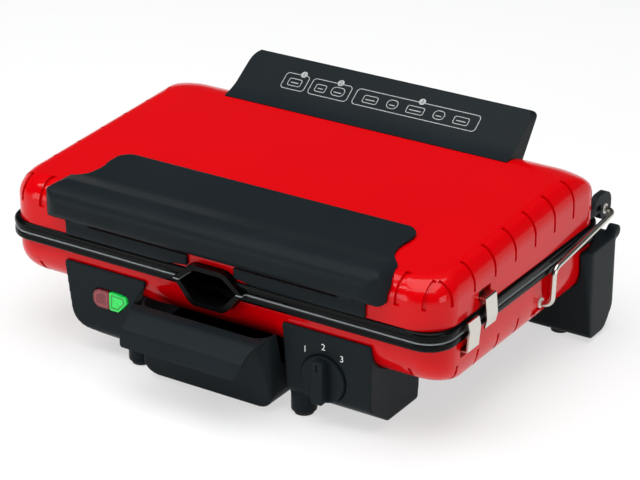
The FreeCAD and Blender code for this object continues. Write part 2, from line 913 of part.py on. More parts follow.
def bail_pockets():
    """Blocks inside the lower shell behind its side pockets, and the pockets themselves."""
    blocks, cuts = [], []
    for side in (left, right):
        face = base_half_x - pocket_depth
        x0, x1 = sorted((side * (face - pocket_wall), side * (base_half_x - base_wall + overrun)))
        blocks.append(box(x0, x1, pocket_front_y - pocket_wall, pocket_rear_y + pocket_wall,
                          pocket_bottom - pocket_wall, base_top))
        x0, x1 = sorted((side * face, side * (base_half_x + overrun)))
        cuts.append(box(x0, x1, pocket_front_y, pocket_rear_y, pocket_bottom, base_top + overrun))
        cuts.append(rod((side * bail_bush_inner_x, pivot_y, pivot_z),
                        (side * bail_bush_outer_x, pivot_y, pivot_z), bush_bore()))
    return blocks, cuts


def base_screw_rods(radius, z0, z1):
    """Upright rods at the places of the cover's screws."""
    x = base_half_x - flange_side_width + cover_lap / 2
    return [rod((sx * x, sy * base_screw_y, z0), (sx * x, sy * base_screw_y, z1), radius)
            for sx in (-1, 1) for sy in (-1, 1)]


def lower_shell(skin):
    """Red lower shell: a band with a flange below it, pockets for the wire and windows for the clips."""
    blocks, cuts = bail_pockets()
    lugs = []
    for side in (left, right):
        lugs += clip_lugs(side, -1, lower_clip_y, base_half_x - base_wall)
        cuts.append(clip_window(side, -1, lower_clip_y, base_half_x))
        cuts.append(clip_pin(side, -1, lower_clip_y))
    shell = skin.cut(base_body(base_wall))
    shell = shell.fuse([skin.common(b) for b in blocks + lugs])
    opening = slab(base_half_x - flange_side_width, base_half_y - flange_end_width, cover_corner,
                   base_bottom - overrun, cover_bottom + overrun)
    grooves = group(base_grooves()).common(skin.cut(base_body(groove_depth)))
    cuts += [opening, grooves, spout_notch(-1, spout_drop, bead_width - base_half_y)]
    cuts += base_screw_rods(screw_radius + screw_clearance, base_bottom - overrun, cover_bottom)
    cuts.append(rod((gland_x, base_half_y + overrun, gland_z),
                    (gland_x, base_half_y - gland_length, gland_z), gland_radius))
    return shell.cut(cuts).removeSplitter()


def base_cover():
    """Plate that closes the base from inside, with posts for the reflector."""
    cover_x = base_half_x - flange_side_width + cover_lap
    cover_y = base_half_y - flange_end_width + cover_lap
    plate_part = slab(cover_x, cover_y, cover_corner, cover_bottom, cover_top)
    posts = post_rods(cover_bottom, lower_pan_z - reflector_depth)
    screws = base_screw_rods(screw_radius, cover_bottom, cover_top + overrun)
    return plate_part.fuse(posts).cut(screws).removeSplitter()


def foot_section():
    """Side view of a front foot: upright face, toe that slopes back, sole and heel."""
    toe = foot_face_y + foot_toe_setback
    heel = foot_face_y + foot_heel_setback
    return [
        (foot_face_y, foot_top, foot_edge_round), (foot_face_y, foot_face_bottom, foot_face_round),
        (toe, foot_sole, foot_sole_round), (heel, foot_sole, foot_sole_round),
        (heel + foot_heel_lean, foot_top, 0)]


def foot_hollow_section():
    """Side view of the hollow in a front foot."""
    toe = foot_face_y + foot_toe_setback + foot_side_wall
    heel = foot_face_y + foot_heel_setback - foot_side_wall
    low = foot_sole + foot_sole_wall
    return [
        (panel_back, foot_top, 0), (panel_back, foot_face_bottom + foot_side_wall, foot_face_round),
        (toe, low, foot_sole_round), (heel, low, foot_sole_round), (heel + foot_heel_lean, foot_top, 0)]


def foot_front_view(side):
    """Front view of a foot: the right one is square, the left one is rounded and has a nick by its lamps."""
    edge = foot_edge_round
    inner, outer = side * foot_inner_x, side * foot_outer_x
    if side == right:
        return [(inner, foot_top, edge), (outer, foot_top, edge), (outer, foot_sole, edge),
                (inner + foot_inner_lean, foot_sole, edge)]
    low_outer, sole_outer = outer + foot_outer_lean, outer + foot_sole_inset
    nick_x, nick_top = inner - lens_side_cut, foot_top - lens_side_cut_drop
    return [(inner, foot_top, edge), (outer, foot_top, edge),
            (low_outer, lamp_foot_bottom, foot_corner_round), (sole_outer, lamp_foot_bottom, edge),
            (sole_outer, foot_sole, edge), (nick_x, foot_sole, edge),
            (nick_x, nick_top - lens_side_cut_height, edge), (inner, nick_top, edge)]


def foot_hollow_view(side):
    """Front view of the hollow in a foot."""
    low, wall = foot_sole + foot_sole_wall, side * foot_side_wall
    inner, outer = side * foot_inner_x + wall, side * foot_outer_x - wall
    if side == right:
        return [(inner, foot_top, 0), (outer, foot_top, 0), (outer, low, 0),
                (inner + foot_inner_lean, low, 0)]
    nick = inner - lens_side_cut
    low_outer, sole_outer = outer + foot_outer_lean, outer + foot_sole_inset
    face_low = lamp_foot_bottom + foot_side_wall
    return [(nick, foot_top, 0), (outer, foot_top, 0),
            (low_outer, face_low, foot_corner_round - foot_side_wall),
            (sole_outer, face_low, 0), (sole_outer, low, 0), (nick, low, 0)]


def lens_outline(colour):
    """Front view of one lamp lens; the two make one lozenge, split in the middle."""
    bottom, top = lens_bottom, lens_bottom + lens_height
    half = lens_gap / 2
    if colour == "red":
        near, far = -lens_split_x - half, -lens_split_x - lens_red_width
        corner = lens_height * lens_corner_share
        return [(near, bottom, lens_round), (near, top, lens_round),
                (far, top, corner), (far, bottom, corner)]
    near, far = half - lens_split_x, lens_green_width - lens_split_x
    tip_z = bottom + lens_height * lens_tip_share
    cut_x = near + (far - near) * lens_tip_cut_share
    return [(near, top, lens_round), (far - lens_round, top - lens_round, lens_round),
            (far, tip_z, lens_round),
            (cut_x, bottom, lens_round), (near, bottom, lens_round)]


def lens(colour, grow, front, rear):
    """Lens, or with a grown outline the window that it sits in."""
    wire = outline([(V(x, front, z), r) for x, z, r in lens_outline(colour)])
    face = Part.Face(wire)
    if grow > 0:
        face = face.makeOffset2D(grow)
    return face.extrude(V(0, rear - front, 0))


lens_front = foot_face_y - lens_proud
lens_rear = lens_front + lens_length
board_front = lens_rear + lamp_gap + lamp_length
knob_back = foot_face_y + knob_well_depth - knob_gap
disc_front = knob_back - knob_disc
panel_back = foot_face_y + foot_panel


def board_posts():
    """Posts behind the left foot's face that carry the lamp board."""
    z = board_z - board_post_drop
    reach = board_width / 2 - board_post_margin
    places = [end * reach - lens_split_x for end in (-1, 1)]
    return [rod((x, foot_face_y + lens_proud, z), (x, board_front, z), board_post_radius) for x in places]


def front_foot(side, skin):
    """Hollow front foot, cut to the curve of the shell above it."""
    x0, x1 = sorted((side * foot_inner_x, side * foot_outer_x))
    rear = foot_face_y + foot_heel_setback + foot_heel_lean
    body = along_x(foot_section(), x0, x1).common(along_y(foot_front_view(side), foot_face_y, rear))
    hollow = along_x(foot_hollow_section(), x0, x1)
    body = body.cut([skin, hollow.common(along_y(foot_hollow_view(side), foot_face_y, rear))])
    x, y = side * foot_post_x, foot_post_y
    body = body.fuse(rod((x, y, foot_sole), (x, y, foot_post_height), foot_post_radius))
    cuts = [pad(x, y)]
    if side == right:
        well = foot_face_y + knob_well_depth
        cuts.append(rod((knob_x, foot_face_y - overrun, knob_z), (knob_x, well, knob_z), knob_well_radius))
        cuts.append(rod((knob_x, foot_face_y, knob_z), (knob_x, panel_back + overrun, knob_z),
                        shaft_radius + shaft_clearance))
    else:
        body = body.fuse(board_posts())
        cuts += [lens(colour, lens_fit, foot_face_y - overrun, lens_rear) for colour in ("red", "green")]
    return largest(body.cut(cuts).removeSplitter())


def pad(x, y):
    """Rubber foot."""
    return rod((x, y, 0), (x, y, pad_height), pad_radius)


def pads():
    """All four rubber feet."""
    return group([pad(side * x, y) for side in (left, right)
                  for x, y in ((foot_post_x, foot_post_y), (leg_pad_x, leg_pad_y))])


def leg_section(inset):
    """Side view of a rear leg: nearly upright, with a rounded heel."""
    toe = leg_front_y + leg_toe_lean + inset
    heel = toe + leg_sole_length - inset
    low = foot_sole + inset
    return [(leg_front_y + inset, leg_top - inset, leg_edge_round - inset), (toe, low, leg_toe_round),
            (heel, low, leg_sole_round), (leg_rear_y - inset, low + leg_rear_lift, leg_rear_round),
            (leg_rear_y - inset, leg_top - inset, leg_edge_round - inset)]


def right_leg(skin):
    """Hollow rear leg that wraps a rear corner of the base."""
    plan = [(leg_inner_x, leg_front_y, leg_corner), (leg_outer_x, leg_front_y, leg_corner),
            (leg_outer_x, leg_rear_y, leg_corner), (leg_inner_x, leg_rear_y, leg_corner)]
    core_corner = leg_corner - leg_wall
    core_inner, core_outer = leg_inner_x + leg_wall, leg_outer_x - leg_wall
    core = [(core_inner, leg_front_y, core_corner), (core_outer, leg_front_y, core_corner),
            (core_outer, leg_rear_y, core_corner), (core_inner, leg_rear_y, core_corner)]
    body = along_x(leg_section(0), leg_inner_x, leg_outer_x).common(along_z(plan, foot_sole, leg_top))
    cavity = along_x(leg_section(leg_wall), leg_inner_x, leg_outer_x)
    cavity = cavity.common(along_z(core, foot_sole, leg_top))
    nub_x = leg_outer_x - nub_margin
    nub_y = leg_rear_y - leg_edge_round / 2
    nub = rod((nub_x - nub_length, nub_y, leg_top), (nub_x, nub_y, leg_top), nub_radius)
    body = body.cut(cavity).fuse(nub).cut([skin, pad(leg_pad_x, leg_pad_y)])
    return largest(body.removeSplitter())


# Heating elements and reflectors

def element(up, pan_z):
    """Tubular element: one hairpin, with a thin pin at each end."""
    z = pan_z + up * (element_gap + element_diameter / 2)
    radius = element_diameter / 2
    pin_end = -element_tail - element_pin_length
    legs, pins = [], []
    for y in (-element_spread, element_spread):
        legs.append(rod((-element_tail, y, z), (element_reach, y, z), radius))
        pins.append(rod((pin_end, y, z), (-element_tail, y, z), element_pin_diameter / 2))
    bend = Part.makeTorus(element_spread, radius, V(element_reach, 0, z), V(0, 0, 1))
    reach = element_spread + element_diameter
    half = box(element_reach, element_reach + reach, -reach, reach,
               z - element_diameter, z + element_diameter)
    return bend.common(half).fuse(legs + pins).removeSplitter()


def reflector(up, pan_z):
    """Bright tray behind an element, with saddles that carry the element."""
    back = pan_z + up * reflector_depth
    sheet = back - up * reflector_wall
    outer = slab(reflector_half_width, reflector_half_depth, reflector_corner, pan_z, back)
    hollow = slab(reflector_half_width - reflector_wall, reflector_half_depth - reflector_wall,
                  reflector_corner - reflector_wall, pan_z - up * overrun, sheet)
    saddle_z = sorted((sheet, pan_z + up * (2 * element_gap + element_diameter)))
    reach = element_spread + saddle_margin
    saddles = []
    for place_share in saddle_shares:
        x = place_share * reflector_half_width
        saddles.append(box(x, x + saddle_width, -reach, reach, *saddle_z))
    z = pan_z + up * (element_gap + element_diameter / 2)
    notches = [box(-reflector_half_width - overrun, overrun - reflector_half_width + reflector_wall,
                   s * element_spread - element_diameter, s * element_spread + element_diameter,
                   z - element_diameter, z + element_diameter) for s in (-1, 1)]
    return outer.cut([hollow] + notches).fuse(saddles).removeSplitter()


def thermal_fuse():
    """Fuse that lies on the lower reflector between the legs of the element."""
    z = lower_pan_z - reflector_depth + reflector_wall + fuse_radius
    return rod((-fuse_length / 2, 0, z), (fuse_length / 2, 0, z), fuse_radius)


def terminal_block():
    """Block on the cover where the mains lead is joined."""
    x0, y0 = block_x - block_width / 2, block_y - block_depth / 2
    return box(x0, x0 + block_width, y0, y0 + block_depth, cover_top, cover_top + block_height)


def cord_gland():
    """Flanged bush in the rear wall for the mains lead."""
    wall = base_half_y
    flange = rod((gland_x, wall, gland_z), (gland_x, wall + gland_flange, gland_z), gland_flange_radius)
    barrel = rod((gland_x, wall - gland_length, gland_z), (gland_x, wall, gland_z), gland_radius)
    bore = rod((gland_x, wall - gland_length - overrun, gland_z),
               (gland_x, wall + gland_flange + overrun, gland_z), gland_bore)
    return flange.fuse(barrel).cut(bore)


# Knob and thermostat

def knob():
    """Dial disc with a bar to turn it by, pointing up at rest."""
    disc = rod((knob_x, knob_back, knob_z), (knob_x, disc_front, knob_z), knob_radius)
    front_rim = [e for e in disc.Edges if abs(e.BoundBox.YMax - disc_front) < knob_gap]
    disc = disc.makeFillet(knob_disc_round, front_rim)
    half = grip_width / 2
    reach = knob_radius - knob_disc_round
    points = [(knob_x - half, knob_z - reach, grip_round), (knob_x + half, knob_z - reach, grip_round),
              (knob_x + half, knob_z + reach, grip_round), (knob_x - half, knob_z + reach, grip_round)]
    grip = along_y(points, disc_front - grip_height, knob_back)
    tip = [e for e in grip.Edges if abs(e.BoundBox.YMax - (disc_front - grip_height)) < knob_gap]
    grip = grip.makeFillet(grip_round / 2, tip)
    socket = rod((knob_x, knob_back + overrun, knob_z),
                 (knob_x, knob_back - shaft_grip, knob_z), shaft_radius)
    grip_front, pointer_top = disc_front - grip_height, knob_z + reach - grip_round
    pointer = box(knob_x - pointer_width / 2, knob_x + pointer_width / 2, grip_front - overrun,
                  grip_front + pointer_depth, pointer_top - pointer_length, pointer_top)
    return disc.fuse(grip).cut([socket, pointer]).removeSplitter()


def shaft():
    """Shaft that the knob turns, from the knob into the thermostat."""
    return rod((knob_x, knob_back - shaft_grip, knob_z),
               (knob_x, panel_back + shaft_depth, knob_z), shaft_radius)


def thermostat():
    """Thermostat body on the back of the right foot's face."""
    x0, z0 = knob_x - thermostat_width / 2, knob_z - thermostat_height / 2
    body = box(x0, x0 + thermostat_width, panel_back, panel_back + thermostat_depth,
               z0, z0 + thermostat_height)
    bore = rod((knob_x, panel_back - overrun, knob_z),
               (knob_x, panel_back + shaft_depth + running_fit, knob_z),
               shaft_radius + running_fit)
    return body.cut(bore)


def pilot_lamps():
    """The two small lamps behind the lenses."""
    places = (-lens_split_x - lens_red_width / 2, lens_green_width / 2 - lens_split_x)
    front = lens_rear + lamp_gap
    return group([rod((x, front, lamp_z), (x, board_front, lamp_z), lamp_radius) for x in places])


def lamp_board():
    """Small board that carries the lamps."""
    x0, z0 = -lens_split_x - board_width / 2, board_z - board_height / 2
    return box(x0, x0 + board_width, board_front, board_front + board_wall, z0, z0 + board_height)


# Drip tray

def tray_section(inset):
    """Side view of the tray: low sides, higher towards its front wall."""
    raise_top = overrun if inset else 0
    low, rear = tray_bottom + inset, -tray_rear_y - inset
    brow, side_top = tray_brow_z + raise_top, tray_side_z + raise_top
    return [(inset - tray_front_y, brow, 0), (inset - tray_toe_y, low, 0), (rear, low, 0),
            (rear, side_top, 0), (-tray_fall_y, side_top, 0), (-tray_rise_y, brow, 0)]


def tray_trough(inset):
    """Trough with rounded lower edges and front corners, drawn in by an inset."""
    half = tray_half_width - inset
    top = tray_brow_z + (overrun if inset else 0)
    low, corner = tray_bottom + inset, tray_corner - inset
    ends = [(-half, top, 0), (-half, low, corner), (half, low, corner), (half, top, 0)]
    front, rear, round_front = inset - tray_front_y, -tray_rear_y - inset, tray_front_corner - inset
    plan = [(-half, front, round_front), (half, front, round_front), (half, rear, 0), (-half, rear, 0)]
    body = along_x(tray_section(inset), -half, half)
    return body.common(along_y(ends, front, rear)).common(along_z(plan, low, top))


def drip_tray():
    """Tray that slides out to the front, with a visor to pull it by."""
    lean = visor_wall * visor_lean_share
    across = visor_wall - lean
    section = [
        (-visor_front_y, visor_front_z, 0),
        (-visor_knee_y, visor_knee_z, visor_knee_round),
        (-visor_crest_y, tray_brow_z, visor_crest_round),
        (tray_wall - tray_front_y, tray_brow_z, 0),
        (tray_wall - tray_front_y, tray_brow_z - visor_wall, 0),
        (-visor_crest_y - lean, tray_brow_z - visor_wall, visor_crest_round - visor_wall),
        (across - visor_knee_y, visor_knee_z - across, visor_knee_round - visor_wall),
        (visor_wall - visor_front_y, visor_front_z - lean, 0)]
    plan = [(-tray_half_width, tray_wall - tray_front_y, 0), (-tray_half_width, -visor_root_y, visor_waist),
            (visor_waist - tray_half_width, -visor_waist_y, visor_corner),
            (-visor_half_width, -visor_front_y, visor_corner)]
    plan += [(-x, y, r) for x, y, r in reversed(plan)]
    visor = along_x(section, -tray_half_width, tray_half_width)
    visor = visor.common(along_z(plan, visor_front_z - visor_wall, tray_brow_z))
    flanges = []
    for side in (left, right):
        x0, x1 = sorted((side * (tray_half_width - tray_wall), side * (tray_half_width + tray_flange)))
        flanges.append(box(x0, x1, -tray_flange_front_y, -tray_rear_y, tray_side_z - tray_wall, tray_side_z))
    return tray_trough(0).cut(tray_trough(tray_wall)).fuse([visor] + flanges).removeSplitter()


def tray_rail(side):
    """Angle under the cover that carries one flange of the tray."""
    inner = tray_half_width + rail_gap
    web = tray_half_width + tray_flange + rail_gap
    under = tray_side_z - tray_wall - rail_gap
    points = [(side * inner, under - rail_lip, 0), (side * (web + rail_wall), under - rail_lip, 0),
              (side * (web + rail_wall), cover_bottom, 0), (side * web, cover_bottom, 0),
              (side * web, under, 0), (side * inner, under, 0)]
    return along_y(points, -rail_front_y, -rail_rear_y)


# Wire bail and its bushes

def wire_bail():
    """One bent wire: a pivot stub and an arm on each side, joined by a bar behind the lid."""
    knee = V(wire_x, pivot_y + wire_lean, pivot_z + wire_rise)
    half_path = [V(wire_x - pivot_tail, pivot_y, pivot_z), V(wire_x, pivot_y, pivot_z), knee,
                 V(wire_x, hinge_y, hinge_z)]
    path = half_path + [V(-p.x, p.y, p.z) for p in reversed(half_path)]
    edges = []
    start = path[0]
    for before, corner, after in zip(path, path[1:], path[2:]):
        back, on = (before - corner).normalize(), (after - corner).normalize()
        half = back.getAngle(on) / 2
        reach = wire_bend / math.tan(half)
        middle = corner + (back + on).normalize() * (wire_bend / math.sin(half) - wire_bend)
        edges.append(Part.makeLine(start, corner + back * reach))
        edges.append(Part.Arc(corner + back * reach, middle, corner + on * reach).toShape())
        start = corner + on * reach
    edges.append(Part.makeLine(start, path[-1]))
    circle = Part.Wire([Part.makeCircle(wire_radius, path[0], path[1] - path[0])])
    return Part.Wire(edges).makePipeShell([circle], True, True)


def bush(x0, x1, y, z):
    """Sleeve round the wire."""
    bore = rod((x0 - overrun, y, z), (x1 + overrun, y, z), wire_radius + running_fit)
    return rod((x0, y, z), (x1, y, z), bush_bore()).cut(bore)


def bail_bushes():
    """Sleeves in the base, where the wire turns."""
    right_bush = bush(bail_bush_inner_x, bail_bush_outer_x, pivot_y, pivot_z)
    return group([right_bush, mirrored(right_bush)])


def hinge_bushes():
    """Sleeves on the wire inside the ears, where the lid turns.

    The lid rises along a straight line while the wire swings on an arc, so the bores are drawn out by the
    height of that arc.
    """
    x0, x1 = ear_inner_x, ear_inner_x + ear_thickness
    half_swing = math.radians(bail_swing_degrees) / 2
    heading = math.atan2(hinge_z - pivot_z, hinge_y - pivot_y) + half_swing
    bow = math.hypot(hinge_z - pivot_z, hinge_y - pivot_y) * (1 - math.cos(half_swing))
    y, z = hinge_y + bow * math.cos(heading), hinge_z + bow * math.sin(heading)
    slot = rod((x0 - overrun, y, z), (x1 + overrun, y, z), wire_radius + running_fit)
    right_bush = bush(x0, x1, hinge_y, hinge_z).cut(slot)
    return group([right_bush, mirrored(right_bush)])


# Screws

def base_screws():
    """Screws from below through the flange into the cover."""
    heads = base_screw_rods(screw_head_radius, base_bottom - screw_head_height, base_bottom)
    shanks = base_screw_rods(screw_radius, base_bottom, cover_top)
    return group([h.fuse(s).removeSplitter() for h, s in zip(heads, shanks)])


def handle_screws():
    """Screws from inside the lid into the ends of the handle."""
    heads = handle_screw_rods(screw_head_radius, handle_screw_seat + screw_head_height, handle_screw_seat)
    shanks = handle_screw_rods(screw_radius, handle_screw_seat, handle_screw_tip)
    return group([h.fuse(s).removeSplitter() for h, s in zip(heads, shanks)])


def panel_screws():
    """Screws from inside the lid up into the rear panel."""
    heads = panel_screw_rods(screw_head_radius, panel_boss_z - screw_head_height, panel_boss_z)
    shanks = panel_screw_rods(screw_radius, panel_boss_z, panel_screw_top)
    return group([h.fuse(s).removeSplitter() for h, s in zip(heads, shanks)])


lid_skin = lid_body(0)
base_skin = base_body(0)
leg = right_leg(base_skin)

nodes = {
    "lower_shell": lower_shell(base_skin),
    "base_cover": base_cover(),
    "left_front_foot": front_foot(left, base_skin),
    "right_front_foot": front_foot(right, base_skin),
    "right_rear_leg": leg,
    "left_rear_leg": mirrored(leg),
    "rubber_feet": pads(),
    "lower_plate": plate(-1, spout_drop, drain_drop),
    "lower_element": element(-1, lower_pan_z),
    "lower_reflector": reflector(-1, lower_pan_z),
    "thermostat": thermostat(),
    "terminal_block": terminal_block(),
    "thermal_fuse": thermal_fuse(),
    "red_lens": lens("red", 0, lens_front, lens_rear),
    "green_lens": lens("green", 0, lens_front, lens_rear),
    "pilot_lamps": pilot_lamps(),
    "lamp_board": lamp_board(),
    "base_screws": base_screws(),
    "lower_clip_pins": group([clip_pin(s, -1, lower_clip_y) for s in (left, right)]),
    "bail_bushes": bail_bushes(),
    "left_tray_rail": tray_rail(left),
    "right_tray_rail": tray_rail(right),
    "cord_gland": cord_gland(),
    "lid_shell": lid_shell(lid_skin),
    "upper_plate": plate(1, spout_rise, drain_rise),
    "upper_element": element(1, upper_pan_z),
    "upper_reflector": reflector(1, upper_pan_z),
    "handle": handle(lid_skin),
    "handle_screws": handle_screws(),
    "rear_panel": rear_panel(lid_skin),
    "panel_screws": panel_screws(),
    "left_hinge_ear": hinge_ear(left, lid_skin),
    "right_hinge_ear": hinge_ear(right, lid_skin),
    "upper_clip_pins": group([clip_pin(s, 1, upper_clip_y) for s in (left, right)]),
    "wire_bail": wire_bail(),
    "hinge_bushes": hinge_bushes(),
    "thermostat_knob": knob(),
    "thermostat_shaft": shaft(),
    "drip_tray": drip_tray(),
    "upper_left_clip": clip(left, 1, upper_clip_y),
    "upper_right_clip": clip(right, 1, upper_clip_y),
    "lower_left_clip": clip(left, -1, lower_clip_y),
    "lower_right_clip": clip(right, -1, lower_clip_y),
}

os.makedirs("parts", exist_ok=True)
for name, shape in nodes.items():
    shape.translate(V(0, centre_shift, 0))
    shape.exportStep("parts/" + name + ".step")
    size = shape.BoundBox
    print(name, len(shape.Solids), shape.isValid(), round(shape.Volume), [round(v, 1) for v in (
        size.XMin, size.XMax, size.YMin, size.YMax, size.ZMin, size.ZMax)])
print("shift", centre_shift)
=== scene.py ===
# %% [markdown]
# # A contact grill, dressed around its solids
# The imported solids already have the grill's shape and its joints, so this lesson never moves or changes them.
# It gives every solid a finish and adds what a mould maker or a printer would add last: soft edges, steps in
# the lenses and print.

# %% Load the frame
import math

import bmesh
import bpy
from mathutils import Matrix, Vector
from mathutils.bvhtree import BVHTree


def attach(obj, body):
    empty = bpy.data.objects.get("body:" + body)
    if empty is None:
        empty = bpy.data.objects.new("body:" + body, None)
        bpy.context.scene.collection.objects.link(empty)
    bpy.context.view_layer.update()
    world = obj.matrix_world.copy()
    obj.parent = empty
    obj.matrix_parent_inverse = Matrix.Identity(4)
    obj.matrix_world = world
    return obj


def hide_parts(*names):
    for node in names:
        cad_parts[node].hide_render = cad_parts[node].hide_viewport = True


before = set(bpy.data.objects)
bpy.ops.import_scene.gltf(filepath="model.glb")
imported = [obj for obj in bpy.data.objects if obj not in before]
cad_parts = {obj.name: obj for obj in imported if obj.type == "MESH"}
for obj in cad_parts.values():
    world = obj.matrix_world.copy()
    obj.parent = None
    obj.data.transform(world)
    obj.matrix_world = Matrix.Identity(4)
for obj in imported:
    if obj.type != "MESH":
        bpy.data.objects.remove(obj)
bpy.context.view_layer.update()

MM = 0.001

# %% [markdown]
# ## Where things are
# The grill was drawn from the middle of its plates, and the whole of it was then moved back a little so that
# it is centred over the origin. Working from the middle of the plates keeps the numbers symmetric, so one
# small function turns those millimetres into Blender's metres.

# %% Points from the middle of the plates
PLATES_BEHIND_ORIGIN = 12.6
SEAM_HEIGHT = 78.7


def at(x, y, z):
    """A point in metres, from millimetres measured from the middle of the plates."""
    return Vector((x, y + PLATES_BEHIND_ORIGIN, z)) * MM


print("middle of the seam:", tuple(round(c, 4) for c in at(0, 0, SEAM_HEIGHT)))

# %% [markdown]
# ## Camera
# A product photo like this one is taken with a long lens from a few feet away, which keeps the edges nearly
# parallel. The place and the lens were solved from points whose size is known: the corners of the seam, the
# handle and the feet. Pointing the camera with a direction vector is simpler than three angles, and it
# cannot roll.

# %% Make the camera
CAMERA_PLACE = Vector((0.830693, -1.261206, 0.763837))
CAMERA_BACK = Vector((0.49139, -0.76484, 0.41660))
FOCAL_PIXELS = 2447.5
PICTURE_WIDTH = 640
SENSOR_WIDTH = 36.0

camera_data = bpy.data.cameras.new("photo_camera")
camera_data.sensor_width = SENSOR_WIDTH
camera_data.lens = FOCAL_PIXELS * SENSOR_WIDTH / PICTURE_WIDTH
camera = bpy.data.objects.new("photo_camera", camera_data)
camera.location = CAMERA_PLACE
camera.rotation_mode = "QUATERNION"
camera.rotation_quaternion = (-CAMERA_BACK).to_track_quat("-Z", "Y")
bpy.context.scene.collection.objects.link(camera)
bpy.context.scene.camera = camera
print("lens in mm:", round(camera_data.lens, 2))

# %% [markdown]
# ## Helpers for every finish
# Paint charts and colour pickers give sRGB values, but a shader adds light, so it needs linear ones. Nodes
# are added by one small function: it makes the node, sets what it is told, and links a socket wherever it is
# handed a socket. Patterns are described by the real size of one spot, which becomes a scale.

# %% Colour, node and scale helpers
def linear(hex_colour):
    """Turn an sRGB hex value into the linear colour that shaders use."""
    shares = [int(hex_colour[i:i + 2], 16) / 255 for i in (1, 3, 5)]
    return [c / 12.92 if c <= 0.04045 else ((c + 0.055) / 1.055) ** 2.4 for c in shares] + [1.0]


def add(tree, kind, inputs, **settings):
    """Add one node. An input that is given a socket is linked to it, and any other value is set."""
    made = tree.nodes.new(kind)
    for name, value in settings.items():
        setattr(made, name, value)
    for key, value in inputs.items():
        if isinstance(value, bpy.types.NodeSocket):
            tree.links.new(value, made.inputs[key])
        else:
            made.inputs[key].default_value = value
    return made


def start_finish(name, sockets):
    """Make a material with these shader settings: it, its tree, its shader and object coordinates."""
    finish = bpy.data.materials.new(name)
    finish.use_nodes = True
    tree = finish.node_tree
    shader = tree.nodes["Principled BSDF"]
    for key, value in sockets.items():
        shader.inputs[key].default_value = value
    spot = add(tree, "ShaderNodeTexCoord", {}).outputs["Object"]
    return finish, tree, shader, spot


def connect(tree, shader, sockets):
    """Link patterns to the shader's inputs of these names."""
    for key, value in sockets.items():
        tree.links.new(value, shader.inputs[key])


def set_stops(ramp, stops):
    """Give a colour ramp these stops, in order from its first place to its last."""
    for element, (place, colour) in zip(ramp.elements, (stops[0], stops[-1])):
        element.position = place
        element.color = linear(colour)
    for place, colour in stops[1:-1]:
        ramp.elements.new(place).color = linear(colour)


def waves_per_metre(size_mm):
    """A pattern's scale, from the real size of one of its spots in millimetres."""
    return 1 / (size_mm * MM)


view_settings = bpy.context.scene.view_settings
view_settings.view_transform = "Standard"
print("mid grey #808080 is linear", round(linear("#808080")[0], 3))

# %% [markdown]
# ## Floor, room and lamps
# The photo stands on a white sweep with no horizon, and only a soft grey shadow ties the grill to it. A large
# pale plane does that here. The room is pale only along the horizon and dark above it, which is what lets the
# flat top of a glossy lid keep its full colour while its upright walls mirror the pale floor. A picture of a
# studio could light it too, but four softboxes are easier to aim.

# %% Pale floor
FLOOR_HALF = 6.0
floor_mesh = bpy.data.meshes.new("floor")
floor_corners = [(-FLOOR_HALF, -FLOOR_HALF, 0), (FLOOR_HALF, -FLOOR_HALF, 0),
                 (FLOOR_HALF, FLOOR_HALF, 0), (-FLOOR_HALF, FLOOR_HALF, 0)]
floor_mesh.from_pydata(floor_corners, [], [(0, 1, 2, 3)])
floor = bpy.data.objects.new("floor", floor_mesh)
bpy.context.scene.collection.objects.link(floor)
print("floor side in m:", 2 * FLOOR_HALF)

# %% Paper sweep
floor_finish, tree, shader, spot = start_finish("matt_white_paper_sweep", {
    "Base Color": linear("#FAFAFA"), "Roughness": 0.9, "Specular IOR Level": 0.0})
# The sweep is lit from below as well, as on a light table, so that the shadow stays pale. Only what looks
# straight at the floor, or at its mirror image, sees that glow, and it adds no light to the grill.
FLOOR_GLOW_SHARE = 0.6
rays = add(tree, "ShaderNodeLightPath", {}).outputs
seen = add(tree, "ShaderNodeMath", {0: rays["Is Camera Ray"], 1: rays["Is Glossy Ray"]},
           operation="MAXIMUM")
seen = add(tree, "ShaderNodeMath", {0: seen.outputs[0], 1: rays["Is Transmission Ray"]},
           operation="MAXIMUM")
share = add(tree, "ShaderNodeMath", {0: seen.outputs[0], 1: FLOOR_GLOW_SHARE}, operation="MULTIPLY")
shine = add(tree, "ShaderNodeEmission", {"Color": linear("#FFFFFF"), "Strength": 1.0})
sweep = add(tree, "ShaderNodeMixShader", {0: share.outputs[0], 1: shader.outputs[0], 2: shine.outputs[0]})
tree.links.new(sweep.outputs[0], tree.nodes["Material Output"].inputs["Surface"])
floor_mesh.materials.append(floor_finish)
print("floor finish:", floor_finish.name)

# %% Room light
# Stops from the horizon, at 0, to straight overhead, at 1.
ROOM_STOPS = [(0.02, "#F4F4F4"), (0.2, "#5A5C5E"), (0.6, "#3A3C3E"), (1.0, "#9A9DA0")]
room = bpy.data.worlds.new("studio")
room.use_nodes = True
bpy.context.scene.world = room
room.node_tree.nodes.clear()
towards = add(room.node_tree, "ShaderNodeTexCoord", {}).outputs["Generated"]
height = add(room.node_tree, "ShaderNodeSeparateXYZ", {"Vector": towards}).outputs["Z"]
rise = add(room.node_tree, "ShaderNodeValToRGB", {"Fac": height})
set_stops(rise.color_ramp, ROOM_STOPS)
glow = add(room.node_tree, "ShaderNodeBackground", {"Color": rise.outputs["Color"], "Strength": 1.0})
add(room.node_tree, "ShaderNodeOutputWorld", {"Surface": glow.outputs["Background"]})
print("room stops:", [(round(e.position, 2), round(e.color[0], 3)) for e in rise.color_ramp.elements])

